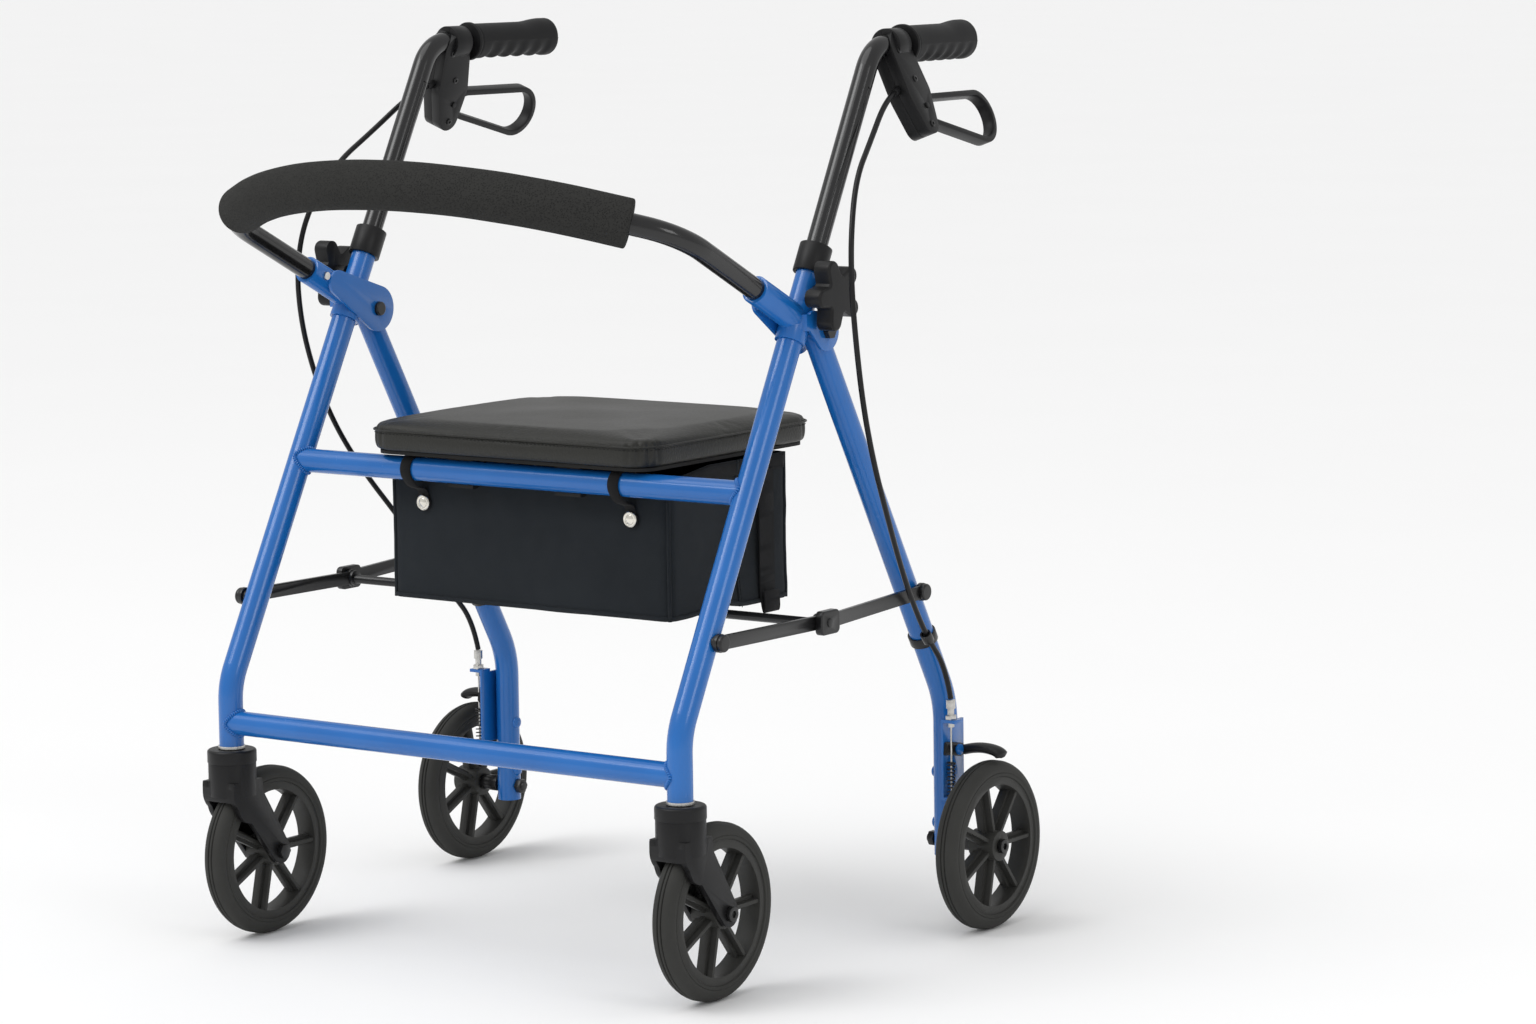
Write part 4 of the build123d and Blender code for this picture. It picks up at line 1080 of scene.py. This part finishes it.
print("bag", len(bag.data.vertices), "points")


# %% Bag seams
def ring_line(level, grow):
    """Closed line round the bag at a level, moved out a little."""
    line = []
    for p in bag_ring:
        here = bag_point(p, level)
        line.append(here + Vector((p.x / BAG_W, p.y / BAG_D, 0)).normalized() * grow)
    return line


def upright(x, y, grow=0.0008):
    """Line up the bag's wall at a place on its outline."""
    out = Vector((x / BAG_W, y / BAG_D, 0)).normalized() * grow
    return [bag_point((x, y), i / 24) + out for i in range(25)]


soft_bits = [bag]
pipe = circle_section(0.0018, 8)
piping = [sweep("pipe_low", ring_line(0.02, 0.0005), pipe, closed=True, normal=UP)]
for sx in (1, -1):
    for sy in (1, -1):
        corner = (sx * (BAG_W / 2 - 0.003), sy * (BAG_D / 2 - 0.003))
        piping.append(sweep("pipe_up", upright(*corner), pipe))
    piping.append(sweep("pipe_side", upright(sx * BAG_W / 2, 0.012), circle_section(0.0011, 8)))
soft_bits.append(finish(joined("bag_piping", piping), "bag_cloth", "front_frame"))
hem_band = flat_section(0.013, 0.0016)
hem = sweep("bag_hem", ring_line(0.945, 0.0006), hem_band, closed=True, normal=UP)
soft_bits.append(finish(hem, "webbing", "front_frame"))
seams = [closed_line(ring_line(level, 0.0018)) for level in (0.905, 0.985)]
seams += [upright(sx * BAG_W / 2, 0.016, 0.0004) for sx in (1, -1)]
stitches = beads("bag_stitches", seams, "bag_cloth", "front_frame", 0.0036, (0.0012, 0.0004, 0.0004))
soft_bits.append(stitches)
print("bag trim", [o.name for o in soft_bits])


# %% Hanging straps
HANGING_Y = 0.070


def hanging_strap(side):
    """Webbing down the bag's side that hangs a little below its floor, doubled at its end."""
    run = [(z, 0.0022) for z in (0.424, 0.40, 0.37, 0.34, 0.32)]
    run += [(0.309, 0.003), (0.301, 0.0045), (0.2965, 0.006), (0.299, 0.0078), (0.307, 0.0078),
            (0.316, 0.0068)]
    line = [flip((BAG_W / 2 + out, HANGING_Y, z), side) for z, out in run]
    return sweep("hanging", smooth_line(line), flat_section(0.023, 0.0015), normal=(0, 1, 0))


hanging = joined("bag_webbing", [hanging_strap(s) for _, s in SIDES])
soft_bits.append(finish(hanging, "webbing", "front_frame"))
for obj in soft_bits:
    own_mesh(obj)

# %% [markdown]
# ## Straps with press studs
# Each strap wraps the seat bar and comes down to a round tab, held by a stud.

# %% Straps and studs
STRAP_X, STRAP_T = 0.116, 0.0016
WRAP_R = TUBE_R + 0.0010
TAB_Y = BAG_FRONT - 0.0018
STUD_Z = SEAT_BAR.z - 0.032


def strap_line():
    """Up from the tab, across to the bar's front, over it and down behind it."""
    line = [Vector((0, TAB_Y, STUD_Z - 0.0075 + 0.0009 * i)) for i in range(17)]
    low = math.radians(216)
    front = SEAT_BAR + Vector((-LEG_X, WRAP_R * math.cos(low), WRAP_R * math.sin(low)))
    leave, meet = line[-1] + Vector((0, -0.0008, 0.006)), front + Vector((0, 0.006, -0.009))
    line += smooth_line([line[-1], leave, meet, front])[1:]
    for i in range(1, 33):
        a = low - math.radians(196) * i / 32
        line.append(SEAT_BAR + Vector((-LEG_X, WRAP_R * math.cos(a), WRAP_R * math.sin(a))))
    return line


def make_strap(side):
    """One strap with its tab."""
    line = [p + Vector((side * STRAP_X, 0, 0)) for p in strap_line()]

    def section(i):
        """A round tab round the stud that narrows to the strap."""
        up = line[min(i, 16)].z - STUD_Z
        tab = math.sqrt(max(0.02, 1 - (up / 0.0078) ** 2)) if up < 0.0045 else 0.0
        return flat_section(max(0.0165 * tab, 0.0115 if up > 0.0 else 0.002), STRAP_T)

    return sweep("strap", line, section, normal=(1, 0, 0))


straps = joined("crossbar_straps", [make_strap(s) for _, s in SIDES])
finish(straps, "webbing", "front_frame", ["bag_straps"])
STUD = [(0.0, 0.007), (0.0008, 0.0071), (0.0016, 0.0064), (0.0018, 0.0052), (0.0014, 0.0044),
        (0.0019, 0.0034), (0.0024, 0.0018), (0.0025, 0.0003)]    # (along, radius)
stud_places = [(side * STRAP_X, TAB_Y - STRAP_T / 2, STUD_Z) for _, side in SIDES]
studs = [lathe("stud", STUD, place, (0, -1, 0)) for place in stud_places]
finish(joined("press_studs", studs), "snap_metal", "front_frame", ["bag_snaps"])
print("straps and studs")

# %% [markdown]
# ## Small metal details
# A brake shoe and a return spring at each rear wheel, dome rivets on the rear legs, and screws on
# the brake housings.

# %% Brake shoes, springs, rivets and screws
SHOE_Y = REAR_AXLE_Y + 0.006
ARM_X = 0.268
SPRING_LOW, SPRING_HIGH, SPRING_R, SPRING_TURNS = 0.1185, 0.1515, 0.0034, 11
SPRING_WIRE_R = 0.0006
RIVET_HEIGHTS = (0.138, 0.0915)
SCREW_HEAD = [(0.0, 0.003), (0.0009, 0.003), (0.0013, 0.0025), (0.0013, 0.0014),
              (0.0004, 0.0012), (0.0004, 0.0002)]    # (along, radius)
SCREW_SPOTS = ((-9, -8), (3, -35), (8, -77))    # back and up, in the housing's frame
SCREW_FACE = 10.4                               # sideways, in the housing's frame


def make_brake_arm(side):
    """Arched shoe over the tyre, with the flat arm that the wire pulls."""
    arch = ((0.2700, 0.1595), (0.2800, 0.1620), (0.2920, 0.1630), (0.3030, 0.1615), (0.3085, 0.1590),
            (0.3105, 0.1560))
    spine = [(0.2660, SHOE_Y - 0.003, 0.1585)] + [(x, SHOE_Y, z) for x, z in arch]
    line = smooth_line([flip(p, side) for p in spine])

    def section(i):
        t = i / (len(line) - 1)
        grow = min(1.0, 0.45 + 6 * t, 0.35 + 9 * (1 - t))
        return [(a * 0.0046 * grow, b * 0.0085 * grow) for a, b in circle_section(1.0, 24)]

    shoe = sweep("shoe", line, section, normal=(0, 1, 0))
    run = ((WIRE_Y * MM - 0.004, 0.1645), (WIRE_Y * MM + 0.004, 0.1635),
           (REAR_AXLE_Y - 0.008, 0.1620), (REAR_AXLE_Y + 0.004, 0.1595))
    arm_line = smooth_line([flip((ARM_X, y, z), side) for y, z in run])
    arm = sweep("arm", arm_line, flat_section(0.005, 0.012, 0.2), normal=(1, 0, 0))
    return joined("brake_shoe", [shoe, arm])


def helix(centre, low, high, r, turns):
    """Points on a coil round a vertical line, with closed end turns."""
    points, steps = [], turns * 16
    for i in range(steps + 1):
        a = 2 * math.pi * turns * i / steps
        z = low + (high - low) * share((i / steps - 0.06) / 0.88)
        points.append(Vector((centre[0] + r * math.cos(a), centre[1] + r * math.sin(a), z)))
    return points


def dome(name, place, axis, r, height):
    """Round rivet head."""
    rows = [(-0.001, r)]
    for i in range(7):
        a = math.pi / 2 * i / 6
        rows.append((height * math.sin(a), r * math.cos(a) + 1e-4))
    return lathe(name, rows, place, axis, steps=28)


for name, side in SIDES:
    centre = (side * ADJUSTER_X * MM, WIRE_Y * MM)
    coil_line = helix(centre, SPRING_LOW, SPRING_HIGH, SPRING_R, SPRING_TURNS)
    coil = sweep(f"return_spring_{name}", coil_line, circle_section(SPRING_WIRE_R, 8))
    finish(coil, "black_steel", f"rear_leg_{name}")
    arm = make_brake_arm(side)
    arm.name = f"brake_shoe_{name}"
    finish(arm, "black_plastic", f"brake_arm_{name}", [f"brake_arm_{name}"])
    spots = [(side * (REAR_LEG_X - TUBE_R + 0.0002), REAR_AXLE_Y, z) for z in RIVET_HEIGHTS]
    rivets = [dome("rivet", spot, (-side, 0, 0), 0.0055, 0.003) for spot in spots]
    finish(joined(f"leg_rivets_{name}", rivets), "frame_blue", f"rear_leg_{name}")
    heads = []
    for face in (1, -1):
        for y, z in SCREW_SPOTS:
            spot = brake_point(face * SCREW_FACE, y, z, side)
            heads.append(lathe("screw", SCREW_HEAD, spot, flip(BRAKE_X * face, side), steps=24))
    finish(joined(f"housing_screws_{name}", heads), "black_steel", f"handle_{name}")
print("brake shoes, springs, rivets and screws on both sides")

# %% [markdown]
# ## Floor
# A pale floor that fades into the background.

# %% Floor
FLOOR_R = 40
floor_corners = [(x * FLOOR_R, y * FLOOR_R, 0) for x, y in ((-1, -1), (1, -1), (1, 1), (-1, 1))]
floor = mesh_object("floor", floor_corners, [(0, 1, 2, 3)], smooth=False)
floor_paint = Paint("floor", specular=0.15)
floor_paint.colour((0.925, 0.925, 0.925), (0.94, 0.94, 0.94), floor_paint.noise(1.5, 2))
floor_paint.roughness(0.8 + floor_paint.noise(3, 2) * 0.1)
floor.data.materials.append(floor_paint.mat)
floor.location.z = -0.0004
bpy.context.view_layer.update()
print("floor ready")
